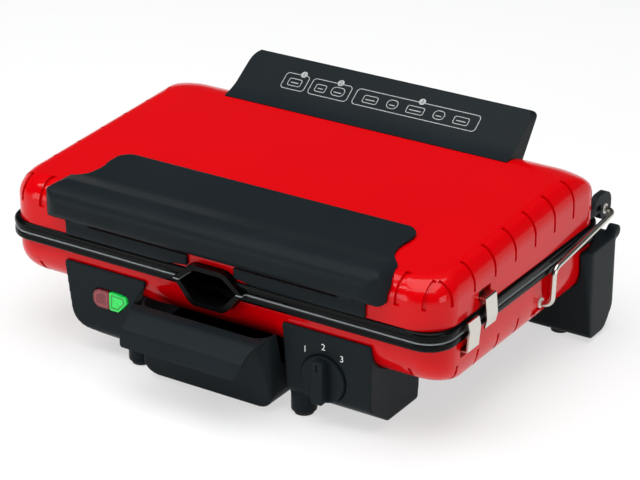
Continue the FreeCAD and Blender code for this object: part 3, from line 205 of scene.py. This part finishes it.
# %% Softboxes
LAMPS_AIM = Vector((0, 0, 0.08))
SOFTBOXES = [
    # name, place in m, width and height in m, power in W
    ("key_softbox", (0.1, -0.2, 1.9), 1.9, 1.9, 39.0),
    ("front_softbox", (-0.9, -1.5, 0.36), 0.9, 0.6, 5.5),
    ("crest_softbox", (-0.9, -0.8, 1.4), 1.2, 0.3, 7.0),
    ("side_softbox", (1.5, -0.3, 0.45), 0.5, 0.6, 3.5),
]
for name, place, width, height, power in SOFTBOXES:
    lamp = bpy.data.lights.new(name, "AREA")
    lamp.shape = "RECTANGLE"
    lamp.size, lamp.size_y = width, height
    lamp.energy = power
    stand = bpy.data.objects.new(name, lamp)
    stand.location = place
    stand.rotation_mode = "QUATERNION"
    stand.rotation_quaternion = (LAMPS_AIM - Vector(place)).to_track_quat("-Z", "Y")
    bpy.context.scene.collection.objects.link(stand)

# %% [markdown]
# ## Glossy red shells
# The two shells are injection moulded in a thermoplastic polyester and the tool is polished, so the plastic
# comes out like lacquer: one strong colour, a sharp reflection and a very faint ripple where it shrank. A
# paint layer could be stacked on a base, but one shader with a low roughness and a slow ripple gives the same.

# %% Moulded polyester
red_gloss, tree, shader, spot = start_finish("gloss_red_polyester_moulding", {
    "Roughness": 0.12, "IOR": 1.5, "Specular IOR Level": 0.22})
# Pigment drifts a little along the flow of the melt, over a hand's width.
FLOW_DRIFT = 70
drift = add(tree, "ShaderNodeTexNoise", {"Vector": spot, "Scale": waves_per_metre(FLOW_DRIFT), "Detail": 2.0})
tint = add(tree, "ShaderNodeMix", {0: drift.outputs["Fac"], 6: linear("#CE0007"), 7: linear("#D80009")},
           data_type="RGBA")
# Shrinkage ripple, just under a centimetre long. At this strength it is far shallower than a sheet of paper.
RIPPLE_LENGTH, RIPPLE_DEPTH = 9, 0.1
ripple = add(tree, "ShaderNodeTexNoise",
             {"Vector": spot, "Scale": waves_per_metre(RIPPLE_LENGTH), "Detail": 1.0})
relief = add(tree, "ShaderNodeBump",
             {"Height": ripple.outputs["Fac"], "Strength": 0.12, "Distance": RIPPLE_DEPTH * MM})
connect(tree, shader, {"Base Color": tint.outputs[2], "Normal": relief.outputs["Normal"]})
print("red finish:", red_gloss.name, "with", len(tree.nodes), "nodes")

# %% [markdown]
# ## Satin black mouldings
# Handle, panel, feet, legs, knob and tray are glass-filled polypropylene from a spark-eroded tool. Erosion
# leaves a fine even grain that swallows most of the mirror image and turns black plastic into a soft,
# slightly blue dark grey. A picture of that grain could be wrapped round each piece, but noise in the
# object's own coordinates needs no unwrapping and has no seams.

# %% Moulded polypropylene
black_satin, tree, shader, spot = start_finish("satin_black_polypropylene_moulding", {
    "IOR": 1.49, "Specular IOR Level": 0.07})
# Erosion grain is about 0.1 mm: it is drawn at 0.6 mm, because it would vanish between the pixels.
GRAIN_DRAWN, GRAIN_DEPTH = 0.6, 0.05
grain = add(tree, "ShaderNodeTexNoise",
            {"Vector": spot, "Scale": waves_per_metre(GRAIN_DRAWN), "Detail": 2.0})
relief = add(tree, "ShaderNodeBump",
             {"Height": grain.outputs["Fac"], "Strength": 0.25, "Distance": GRAIN_DEPTH * MM})
# The glass fibres cloud the tint and the sheen over a few centimetres.
FIBRE_CLOUD = 45
cloud = add(tree, "ShaderNodeTexNoise",
            {"Vector": spot, "Scale": waves_per_metre(FIBRE_CLOUD), "Detail": 2.0})
tint = add(tree, "ShaderNodeMix", {0: cloud.outputs["Fac"], 6: linear("#161C1F"), 7: linear("#1C2326")},
           data_type="RGBA")
sheen = add(tree, "ShaderNodeMapRange", {"Value": cloud.outputs["Fac"], "To Min": 0.36, "To Max": 0.46})
connect(tree, shader, {"Base Color": tint.outputs[2], "Roughness": sheen.outputs["Result"],
                       "Normal": relief.outputs["Normal"]})
print("black finish:", black_satin.name, "with", len(tree.nodes), "nodes")

# %% [markdown]
# ## Cooking plates
# The plates are die-cast aluminium under a sprayed and baked non-stick coat. The coat is nearly black, with
# tiny mica flecks and the softness of a sprayed film. Along the edge of the lower rim runs a thin pale line
# that is a painted highlight, the light that the rim's rounded edge catches. It could be a strip of its own,
# but the finish paints it into the coat by height, and only where the surface is not level.

# %% Non-stick coat with its flecks
plate_coat, tree, shader, spot = start_finish("non_stick_coat_on_cast_aluminium", {
    "IOR": 1.45, "Specular IOR Level": 0.1})
# Real flecks are under 0.1 mm: they are drawn at 0.8 mm so that some of them show.
FLECK_DRAWN, FLECK_SHARE = 0.8, 0.18
flecks = add(tree, "ShaderNodeTexVoronoi", {"Vector": spot, "Scale": waves_per_metre(FLECK_DRAWN)})
bright = add(tree, "ShaderNodeMapRange", {"Value": flecks.outputs["Distance"], "From Min": 0.0,
                                          "From Max": FLECK_SHARE, "To Min": 1.0, "To Max": 0.0})
coat_tint = add(tree, "ShaderNodeMix", {0: bright.outputs["Result"], 6: linear("#070809"),
                                        7: linear("#1C1E20")}, data_type="RGBA")
# A sprayed film dries with an orange peel of a millimetre or two.
PEEL_SIZE, PEEL_DEPTH = 1.5, 0.05
orange_peel = add(tree, "ShaderNodeTexNoise",
                  {"Vector": spot, "Scale": waves_per_metre(PEEL_SIZE), "Detail": 1.0})
sheen = add(tree, "ShaderNodeMapRange", {"Value": orange_peel.outputs["Fac"], "To Min": 0.14, "To Max": 0.24})
relief = add(tree, "ShaderNodeBump",
             {"Height": orange_peel.outputs["Fac"], "Strength": 0.15, "Distance": PEEL_DEPTH * MM})
print("plate finish:", plate_coat.name)

# %% Painted highlight on the lower rim
RIM_LOW, RIM_HIGH = 77.2, 79.7
PAINTED_HIGHLIGHT_STOPS = [(0.14, "#000000"), (0.26, "#FFFFFF"), (0.5, "#FFFFFF"), (0.56, "#000000")]
# The painted highlight fades out as the surface turns to look straight up, so the flat top of the rim keeps the
# coat's own colour.
NEARLY_LEVEL, LEVEL = 0.9, 0.98
up_rim = add(tree, "ShaderNodeSeparateXYZ", {"Vector": spot}).outputs["Z"]
rim_share = add(tree, "ShaderNodeMapRange",
                {"Value": up_rim, "From Min": RIM_LOW * MM, "From Max": RIM_HIGH * MM})
painted_highlight = add(tree, "ShaderNodeValToRGB", {"Fac": rim_share.outputs["Result"]})
set_stops(painted_highlight.color_ramp, PAINTED_HIGHLIGHT_STOPS)
facing = add(tree, "ShaderNodeTexCoord", {}).outputs["Normal"]
facing_up = add(tree, "ShaderNodeSeparateXYZ", {"Vector": facing}).outputs["Z"]
at_edge = add(tree, "ShaderNodeMapRange", {"Value": facing_up, "From Min": NEARLY_LEVEL, "From Max": LEVEL,
                                           "To Min": 1.0, "To Max": 0.0})
painted_highlight_on_slopes = add(tree, "ShaderNodeMath", {0: painted_highlight.outputs["Color"], 1: at_edge.outputs["Result"]},
                operation="MULTIPLY")
# The pale grey is the painted highlight's colour, mixed over the coat.
tint = add(tree, "ShaderNodeMix", {0: painted_highlight_on_slopes.outputs[0], 6: coat_tint.outputs[2], 7: linear("#9CA2A4")},
           data_type="RGBA")
connect(tree, shader, {"Base Color": tint.outputs[2], "Roughness": sheen.outputs["Result"],
                       "Normal": relief.outputs["Normal"]})
painted_highlight_heights = [round(RIM_LOW + place * (RIM_HIGH - RIM_LOW), 2) for place, _ in PAINTED_HIGHLIGHT_STOPS]
print("worn line between heights in mm:", painted_highlight_heights[0], painted_highlight_heights[-1])

# %% [markdown]
# ## Metals
# The wire that carries the lid and the clips are bright stainless spring steel: drawn or rolled, then barrel
# polished. Screws are zinc plated or blackened, the reflectors are bare aluminium sheet, and an element's
# sheath has the brown-grey skin that steel gets when it has been red hot. They differ in colour, in roughness
# and in the size of their marks, so one loop makes them all from a table.

# %% Metal finishes
METALS = {
    # name: (dark hex, light hex, roughness from, roughness to, mark size in mm along X, Y, Z)
    "bright_stainless_spring_steel": ("#C9C5BB", "#DAD7CF", 0.16, 0.26, (0.5, 9.0, 0.5)),
    "zinc_plated_steel_screw": ("#A9ABA6", "#C2C3BC", 0.28, 0.42, (0.8, 0.8, 0.8)),
    "black_oxide_steel_screw": ("#17181A", "#232527", 0.4, 0.55, (0.8, 0.8, 0.8)),
    "rolled_aluminium_sheet": ("#B9BBBD", "#CDCFD1", 0.25, 0.4, (30.0, 0.6, 0.6)),
    "heat_stained_element_sheath": ("#4A443E", "#6B635A", 0.45, 0.65, (4.0, 4.0, 4.0)),
}
metal_finish = {}
for name, (dark, light, smooth, rough, mark) in METALS.items():
    metal_finish[name], tree, shader, spot = start_finish(name, {"Metallic": 1.0})
    stretch = add(tree, "ShaderNodeMapping", {"Vector": spot, "Scale": [waves_per_metre(m) for m in mark]})
    marks = add(tree, "ShaderNodeTexNoise",
                {"Vector": stretch.outputs["Vector"], "Scale": 1.0, "Detail": 2.0})
    tint = add(tree, "ShaderNodeMix", {0: marks.outputs["Fac"], 6: linear(dark), 7: linear(light)},
               data_type="RGBA")
    sheen = add(tree, "ShaderNodeMapRange",
                {"Value": marks.outputs["Fac"], "To Min": smooth, "To Max": rough})
    connect(tree, shader, {"Base Color": tint.outputs[2], "Roughness": sheen.outputs["Result"]})
print("metals:", sorted(metal_finish))

# %% [markdown]
# ## Plastics, rubber and glass that are seen less
# Turned over or opened, the grill shows its small parts: white acetal bushes and a white thermostat body,
# black rubber pads, the brown laminate that carries the lamps, painted rails and the lamps' glass. Most of
# them have a matt surface with a cloudy tint and a fine grain. A recipe for each would be nearly the same
# every time, so they share one and differ in colours, roughness and grain size.

# %% Matt finishes
MATT_DEPTH = 0.05
MATT = {
    # name: (dark hex, light hex, roughness, IOR, grain in mm)
    "moulded_white_acetal": ("#DCDAD2", "#E9E7E0", 0.4, 1.48, 0.8),
    "moulded_black_rubber": ("#131313", "#1D1D1C", 0.8, 1.52, 0.7),
    "brown_paper_laminate": ("#6E4B2A", "#86603A", 0.5, 1.55, 1.5),
    "black_painted_steel_rail": ("#16181A", "#202326", 0.5, 1.5, 0.9),
    "clear_lamp_glass": ("#C9C2B4", "#E2DCCE", 0.08, 1.5, 3.0),
}
matt_finish = {}
for name, (dark, light, rough, ior, size) in MATT.items():
    matt_finish[name], tree, shader, spot = start_finish(name, {"Roughness": rough, "IOR": ior})
    grain = add(tree, "ShaderNodeTexNoise", {"Vector": spot, "Scale": waves_per_metre(size), "Detail": 3.0})
    tint = add(tree, "ShaderNodeMix", {0: grain.outputs["Fac"], 6: linear(dark), 7: linear(light)},
               data_type="RGBA")
    relief = add(tree, "ShaderNodeBump",
                 {"Height": grain.outputs["Fac"], "Strength": 0.2, "Distance": MATT_DEPTH * MM})
    connect(tree, shader, {"Base Color": tint.outputs[2], "Normal": relief.outputs["Normal"]})
print("matt finishes:", sorted(matt_finish))

# %% [markdown]
# ## Lamp lenses
# Two polycarbonate lenses share one window. The green one is lit from behind by its lamp, and the red one is
# off, so it only shows its deep tint. Light inside a small lens is cheaper as a weak glow in the plastic than
# as a lamp behind it.

# %% Polycarbonate lenses
PRISM_SIZE = 1.6
LENSES = {
    # name: (rim hex, middle hex, glow)
    "green_polycarbonate_lens": ("#0FB540", "#22D858", 0.3),
    "red_polycarbonate_lens": ("#641019", "#86222D", 0.0),
    # The two step-ring finishes are painted light on the step's face: painted shade on the green lens, a
    # painted highlight on the red.
    "shaded_green_polycarbonate": ("#0A8A30", "#0E9C38", 0.12),
    "step_highlight_red_polycarbonate": ("#8E3038", "#A8444C", 0.0),
}
lens_finish = {}
for name, (rim, middle, glow) in LENSES.items():
    lens_finish[name], tree, shader, spot = start_finish(name, {
        "Roughness": 0.12, "IOR": 1.585, "Emission Color": linear(middle), "Emission Strength": glow})
    # Prisms moulded into the back of the lens break the light into millimetre cells.
    prisms = add(tree, "ShaderNodeTexVoronoi", {"Vector": spot, "Scale": waves_per_metre(PRISM_SIZE)})
    tint = add(tree, "ShaderNodeMix", {0: prisms.outputs["Distance"], 6: linear(middle), 7: linear(rim)},
               data_type="RGBA")
    connect(tree, shader, {"Base Color": tint.outputs[2]})
print("lenses:", sorted(lens_finish))

# %% [markdown]
# ## Finishes onto the solids
# Each solid's object gets its finish in its material slots. A table from finish to solids is easy to read,
# and a count at the end shows that none was forgotten.

# %% Assign the finishes
FINISHED_SOLIDS = [
    (red_gloss, "lid_shell lower_shell"),
    (black_satin, "handle rear_panel left_hinge_ear right_hinge_ear left_front_foot right_front_foot "
                  "left_rear_leg right_rear_leg thermostat_knob drip_tray base_cover cord_gland"),
    (plate_coat, "upper_plate lower_plate"),
    (metal_finish["bright_stainless_spring_steel"],
     "wire_bail upper_left_clip upper_right_clip lower_left_clip lower_right_clip thermostat_shaft"),
    (metal_finish["zinc_plated_steel_screw"], "base_screws upper_clip_pins lower_clip_pins thermal_fuse"),
    (metal_finish["black_oxide_steel_screw"], "handle_screws panel_screws"),
    (metal_finish["rolled_aluminium_sheet"], "upper_reflector lower_reflector"),
    (metal_finish["heat_stained_element_sheath"], "upper_element lower_element"),
    (matt_finish["moulded_white_acetal"], "bail_bushes hinge_bushes thermostat terminal_block"),
    (matt_finish["moulded_black_rubber"], "rubber_feet"),
    (matt_finish["brown_paper_laminate"], "lamp_board"),
    (matt_finish["black_painted_steel_rail"], "left_tray_rail right_tray_rail"),
    (matt_finish["clear_lamp_glass"], "pilot_lamps"),
    (lens_finish["green_polycarbonate_lens"], "green_lens"),
    (lens_finish["red_polycarbonate_lens"], "red_lens"),
]
dressed = set()
for finish, names in FINISHED_SOLIDS:
    for name in names.split():
        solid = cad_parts[name]
        solid.data.materials.clear()
        solid.data.materials.append(finish)
        dressed.add(name)
print("dressed:", len(dressed), "bare:", sorted(set(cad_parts) - dressed))

# %% [markdown]
# ## Softer edges on the black mouldings
# A moulded grip or foot has no crisp edge anywhere, because plastic does not fill a sharp corner of its tool.
# The solids have crisp edges where their outlines cross. Bevelling those crossings edge by edge is slow, so
# the visible moulding is a copy of the solid that is remeshed into small even cells and then relaxed, which
# rounds every edge by a millimetre or two and leaves the large forms alone. More rounds give a rounder edge:
# a hand closes round the grip, so it gets most.

# %% Relaxed copies of the mouldings
RELAX_PULL = 0.5
# The cells follow a flat face to about a tenth of a millimetre, so each skin is drawn in by three times that,
# and stays clear of the knob and the rails that it moves against.
DRAW_IN = 0.3


def relaxed_copy(node, cell, rounds, body):
    """A copy of a solid with soft edges, which stands for it and rides on its body."""
    name = "soft_" + node
    piece = bpy.data.objects.new(name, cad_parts[node].data.copy())
    bpy.context.scene.collection.objects.link(piece)
    cells = piece.modifiers.new("cells", "REMESH")
    cells.mode = "VOXEL"
    cells.voxel_size = cell * MM
    cells.use_smooth_shade = True
    relax = piece.modifiers.new("relax", "SMOOTH")
    relax.iterations, relax.factor = rounds, RELAX_PULL
    draw_in = piece.modifiers.new("draw_in", "DISPLACE")
    draw_in.strength, draw_in.mid_level = -DRAW_IN * MM, 0.0
    bpy.context.view_layer.update()
    shaped = piece.evaluated_get(bpy.context.evaluated_depsgraph_get())
    rounded = bpy.data.meshes.new_from_object(shaped)
    piece.modifiers.clear()
    piece.data = rounded
    rounded.name = name
    rounded.materials.clear()
    rounded.materials.append(black_satin)
    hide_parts(node)
    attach(piece, body)
    print(name, "faces:", len(rounded.polygons))
    return piece


SOFT_MOULDINGS = [
    # node, cell in mm, rounds, body
    ("handle", 0.9, 14, "lid"),
    ("left_front_foot", 0.8, 10, "base"),
    ("right_front_foot", 0.8, 10, "base"),
    ("left_rear_leg", 0.9, 12, "base"),
    ("right_rear_leg", 0.9, 12, "base"),
    ("drip_tray", 0.78, 2, "tray"),
]
soft = {node: relaxed_copy(node, cell, rounds, body) for node, cell, rounds, body in SOFT_MOULDINGS}

# %% Lip of the strip under the grip, partly painted shade
# The strip below the grip ends in a thin lip that reaches almost to the plate's rim and hides the red behind
# it. The lip is partly the grip's own underside and partly painted shade: dark plastic where the strip's shadow
# falls on the red. It is only the lowest cells of the strip drawn down, because nothing else of the grip lies
# that low. It fades out beside the spout, where the plate's rim rises.
STRIP_EDGE, SHADE_LIP_DROP = 88.4, 1.9
SHADE_LIP_START, SHADE_LIP_FULL = 22.0, 34.0
shade_lip = [v for v in soft["handle"].data.vertices if v.co.z < STRIP_EDGE * MM]
for vertex in shade_lip:
    share = (abs(vertex.co.x) / MM - SHADE_LIP_START) / (SHADE_LIP_FULL - SHADE_LIP_START)
    vertex.co.z -= SHADE_LIP_DROP * MM * min(max(share, 0.0), 1.0)
print("lip points:", len(shade_lip), "lowest in mm:", round(min(v.co.z for v in shade_lip) / MM, 2))

# %% [markdown]
# ## Flat shapes that lie on the grill
# Print is a film of ink a few hundredths of a millimetre thick: a silicone pad picks it up from an etched
# plate and presses it onto the moulding. It could be a pattern in the black finish, but a thin mesh that lies
# on the moulding keeps its edges sharp from any distance. Each point is dropped onto the moulding's own mesh,
# so that the film follows it.

# %% Digits as flat meshes
def digit(text, size):
    """Outline of a digit around its middle, in millimetres: its points and its faces."""
    letter = bpy.data.curves.new("digit", "FONT")
    letter.body = text
    letter.size = size
    letter.align_x = letter.align_y = "CENTER"
    holder = bpy.data.objects.new("digit", letter)
    bpy.context.scene.collection.objects.link(holder)
    bpy.context.view_layer.update()
    flat = bpy.data.meshes.new_from_object(holder)
    points = [(v.co.x, v.co.y) for v in flat.vertices]
    faces = [tuple(p.vertices) for p in flat.polygons]
    bpy.data.objects.remove(holder)
    bpy.data.curves.remove(letter)
    bpy.data.meshes.remove(flat)
    return points, faces


def moved(shape, across, up):
    """The same flat shape at another place."""
    points, faces = shape
    return [(u + across, v + up) for u, v in points], faces


print("faces in a 2:", len(digit("2", 1.0)[1]))

# %% Laying shapes onto a skin
INK_LIFT = 0.08
LOOK_FROM = 20.0


def skin_of(piece):
    """A piece's mesh as a tree that rays can be shot at."""
    return BVHTree.FromPolygons([v.co.copy() for v in piece.data.vertices],
                                [tuple(p.vertices) for p in piece.data.polygons])


def dropped_on(skin, place, out):
    """Where a point of print lands on a skin, seen from outside along the direction out."""
    return skin.ray_cast(place + out * LOOK_FROM * MM, -out)[0] + out * INK_LIFT * MM


def printed(name, shapes, lay, finish, body):
    """Lay flat shapes onto the grill as one piece that rides on a body."""
    points, faces = [], []
    for shape_points, shape_faces in shapes:
        start = len(points)
        points += [lay(u, v) for u, v in shape_points]
        faces += [tuple(start + i for i in face) for face in shape_faces]
    mesh = bpy.data.meshes.new(name)
    mesh.from_pydata(points, [], faces)
    mesh.materials.append(finish)
    piece = bpy.data.objects.new(name, mesh)
    bpy.context.scene.collection.objects.link(piece)
    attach(piece, body)
    print(name, "faces:", len(faces))


print("ink stands off its skin by", INK_LIFT, "mm")

# %% Printing inks
INK_SPOT = 1.2
INKS = {
    # name: (thin hex, full hex)
    "pad_printed_white_ink": ("#DADCDC", "#F2F3F3"),
    "pad_printed_grey_ink": ("#9DA2A4", "#B6BABB"),
    "pad_printed_black_ink": ("#1A1D1F", "#24282A"),
}
ink = {}
for name, (thin, full) in INKS.items():
    ink[name], tree, shader, spot = start_finish(name, {"Roughness": 0.5, "IOR": 1.5})
    # The film is thinner where the pad's skin was uneven, in spots of about a millimetre.
    film = add(tree, "ShaderNodeTexNoise",
               {"Vector": spot, "Scale": waves_per_metre(INK_SPOT), "Detail": 2.0})
    tint = add(tree, "ShaderNodeMix", {0: film.outputs["Fac"], 6: linear(thin), 7: linear(full)},
               data_type="RGBA")
    connect(tree, shader, {"Base Color": tint.outputs[2]})
print("inks:", sorted(ink))

# %% [markdown]
# ## Rings in the lamp lenses
# Each lens is moulded with a step on its front, which shows as a second outline inside the first. It could be
# cut into the lens, but the solids stay as they are, so the step is a thin ring on the lens. It follows the
# lens's own edge: that line is found on the solid's front face and drawn in towards the middle.

# %% Edge of a front face
# How near to the front, in mm, a point still belongs to the front face, and how far a face must turn to it.
FRONT_WITHIN = 0.02
FACING_FRONT = 0.9


def front_edge(solid):
    """Points round a solid's front face, in order, as (x, z) in metres, and the face's y."""
    shape = bmesh.new()
    shape.from_mesh(solid.data)
    front = min(v.co.y for v in shape.verts)
    face_edges = [e for e in shape.edges
                  if all(abs(v.co.y - front) < FRONT_WITHIN * MM for v in e.verts)
                  and sum(abs(f.normal.y) > FACING_FRONT for f in e.link_faces) == 1]
    steps = {}
    for edge in face_edges:
        a, b = edge.verts
        steps.setdefault(a.index, []).append(b.index)
        steps.setdefault(b.index, []).append(a.index)
    shape.verts.ensure_lookup_table()
    start = next(iter(steps))
    order, last, here = [start], None, start
    while True:
        after = [i for i in steps[here] if i != last]
        if not after or after[0] == start:
            break
        last, here = here, after[0]
        order.append(here)
    points = [(shape.verts[i].co.x, shape.verts[i].co.z) for i in order]
    shape.free()
    return points, front


print("points round the green lens:", len(front_edge(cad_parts["green_lens"])[0]))

# %% Step lines on the lenses
STEP_SHARE, STEP_WIDTH_SHARE = 0.8, 0.16
# Each ring's colour is painted light for the step: darker green as painted shade, paler red as a painted
# highlight.
STEPPED_LENSES = [("green_lens", "shaded_green_polycarbonate"), ("red_lens", "step_highlight_red_polycarbonate")]
for name, finish_name in STEPPED_LENSES:
    points, front = front_edge(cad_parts[name])
    count = len(points)
    middle = sum((Vector(p) for p in points), Vector((0, 0))) / count
    outer = [tuple(middle + (Vector(p) - middle) * STEP_SHARE) for p in points]
    inner = [tuple(middle + (Vector(p) - middle) * (STEP_SHARE - STEP_WIDTH_SHARE)) for p in points]
    faces = [(i, (i + 1) % count, count + (i + 1) % count, count + i) for i in range(count)]
    printed(name + "_step", [(outer + inner, faces)], lambda x, z: Vector((x, front - INK_LIFT * MM, z)),
            lens_finish[finish_name], "base")

# %% [markdown]
# ## Numbers around the knob
# Three white numbers stand on an arc over the knob, one for each step of heat, and are pad printed on the foot.
# They could be turned to follow the arc, but upright ones are easier to read, so each is only moved.

# %% Print the numbers
KNOB_X, KNOB_Z, FOOT_FACE_Y = 86.0, 33.5, -111.1
DIAL_RADIUS, DIAL_STEP, DIAL_DIGIT = 22.5, 38.0, 6.4
FORWARDS = Vector((0, -1, 0))
foot_skin = skin_of(soft["right_front_foot"])


def on_dial_face(u, v):
    """A point of the dial's print, from millimetres measured from the knob's middle."""
    return dropped_on(foot_skin, at(KNOB_X + u, FOOT_FACE_Y, KNOB_Z + v), FORWARDS)


dial_shapes = []
for i, text in enumerate("123"):
    turn = math.radians((i - 1) * DIAL_STEP)
    across, up = DIAL_RADIUS * math.sin(turn), DIAL_RADIUS * math.cos(turn)
    dial_shapes.append(moved(digit(text, DIAL_DIGIT), across, up))
printed("dial_numbers", dial_shapes, on_dial_face, ink["pad_printed_white_ink"], "base")

# %% [markdown]
# ## Print on the rear panel
# The leaning panel carries a printed guide: three frames in thin grey line, each with a numbered badge and a
# row of plain shapes for slices and snacks. Curves with a bevel could draw the lines, but a strip of faces
# between an outline and the same outline drawn in is lighter and lies flat.

# %% Lines and outlines
CORNER_STEPS = 6


def rounded_frame(u0, v0, u1, v1, corner):
    """Points round a rectangle with round corners."""
    points = []
    for u, v, start in ((u1 - corner, v0 + corner, -90), (u1 - corner, v1 - corner, 0),
                        (u0 + corner, v1 - corner, 90), (u0 + corner, v0 + corner, 180)):
        for i in range(CORNER_STEPS + 1):
            turn = math.radians(start + 90 * i / CORNER_STEPS)
            points.append((u + corner * math.cos(turn), v + corner * math.sin(turn)))
    return points


def line_round(points, width):
    """A closed line of even width, drawn inwards from these points."""
    count = len(points)
    inner = []
    for i, (u, v) in enumerate(points):
        before, after = Vector(points[i - 1]), Vector(points[(i + 1) % count])
        along = (after - before).normalized()
        inner.append((u - along.y * width, v + along.x * width))
    faces = [(i, (i + 1) % count, count + (i + 1) % count, count + i) for i in range(count)]
    return points + inner, faces


def filled(points):
    """One face inside these points."""
    return points, [tuple(range(len(points)))]


print("points round a frame:", 4 * (CORNER_STEPS + 1))

# %% The panel's slope
PANEL_BEND = at(0, 83.0, 128.6)
PANEL_TOP = at(0, 112.0, 149.0)
PANEL_ALONG = (PANEL_TOP - PANEL_BEND).normalized()
PANEL_OUT = Vector((0, -PANEL_ALONG.z, PANEL_ALONG.y))
panel_skin = skin_of(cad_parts["rear_panel"])


def on_panel(u, v):
    """A point of the panel's print, from millimetres across the panel and up its slope."""
    return dropped_on(panel_skin, PANEL_BEND + Vector((u * MM, 0, 0)) + PANEL_ALONG * v * MM, PANEL_OUT)


def over_badge(u, v):
    """The same, one film of ink higher."""
    return on_panel(u, v) + PANEL_OUT * INK_LIFT * MM


print("panel leans back by degrees:", round(math.degrees(math.atan2(PANEL_ALONG.y, PANEL_ALONG.z)), 1))

# %% The panel's guide
LINE = 0.55
FRAME_LOW, FRAME_HIGH, FRAME_CORNER = 8.0, 22.0, 3.0
SNACK_BELOW, SNACK_ABOVE, SNACK_GROWTH = 3.2, 4.2, 1.0
BUN_CORNER_SHARE, TOAST_CORNER_SHARE = 0.45, 0.25
FILLING_INSET, FILLING_LOW, FILLING_HIGH, FILLING_CORNER = 2.2, 2.6, 3.3, 0.3
BADGE_HEIGHT, BADGE_RADIUS, BADGE_DIGIT = 22.5, 2.6, 4.2
# A badge's corners stop just short of its middle, so that no two of its points meet.
BADGE_FLAT = 0.01
GUIDE = [
    # left edge, right edge, badge place, widths of the rounded shapes inside
    (-80.0, -60.0, -66.0, (11.0,)),
    (-57.0, -24.0, -35.0, (9.0, 11.0)),
    (-20.0, 80.0, 32.0, (12.0, 9.0, 14.0, 9.0, 12.0)),
]
grey_shapes, badge_digits = [], []
for number, (start, end, badge, widths) in enumerate(GUIDE, 1):
    outline = rounded_frame(start, FRAME_LOW, end, FRAME_HIGH, FRAME_CORNER)
    grey_shapes.append(line_round(outline, LINE))
    gap = (end - start - sum(widths)) / (len(widths) + 1)
    u = start + gap
    for i, width in enumerate(widths):
        is_bun = i % 2 == 1
        low = FRAME_LOW + SNACK_BELOW
        high = FRAME_HIGH - SNACK_ABOVE + (SNACK_GROWTH if is_bun else 0.0)
        corner = min(width, high - low) * (BUN_CORNER_SHARE if is_bun else TOAST_CORNER_SHARE)
        grey_shapes.append(line_round(rounded_frame(u, low, u + width, high, corner), LINE))
        filling = rounded_frame(u + FILLING_INSET, low + FILLING_LOW,
                                u + width - FILLING_INSET, low + FILLING_HIGH, FILLING_CORNER)
        grey_shapes.append(filled(filling))
        u += width + gap
    disc = rounded_frame(badge - BADGE_RADIUS, BADGE_HEIGHT - BADGE_RADIUS,
                         badge + BADGE_RADIUS, BADGE_HEIGHT + BADGE_RADIUS, BADGE_RADIUS - BADGE_FLAT)
    grey_shapes.append(filled(disc))
    badge_digits.append(moved(digit(str(number), BADGE_DIGIT), badge, BADGE_HEIGHT))
printed("panel_guide", grey_shapes, on_panel, ink["pad_printed_grey_ink"], "lid")
printed("panel_badge_digits", badge_digits, over_badge, ink["pad_printed_black_ink"], "lid")
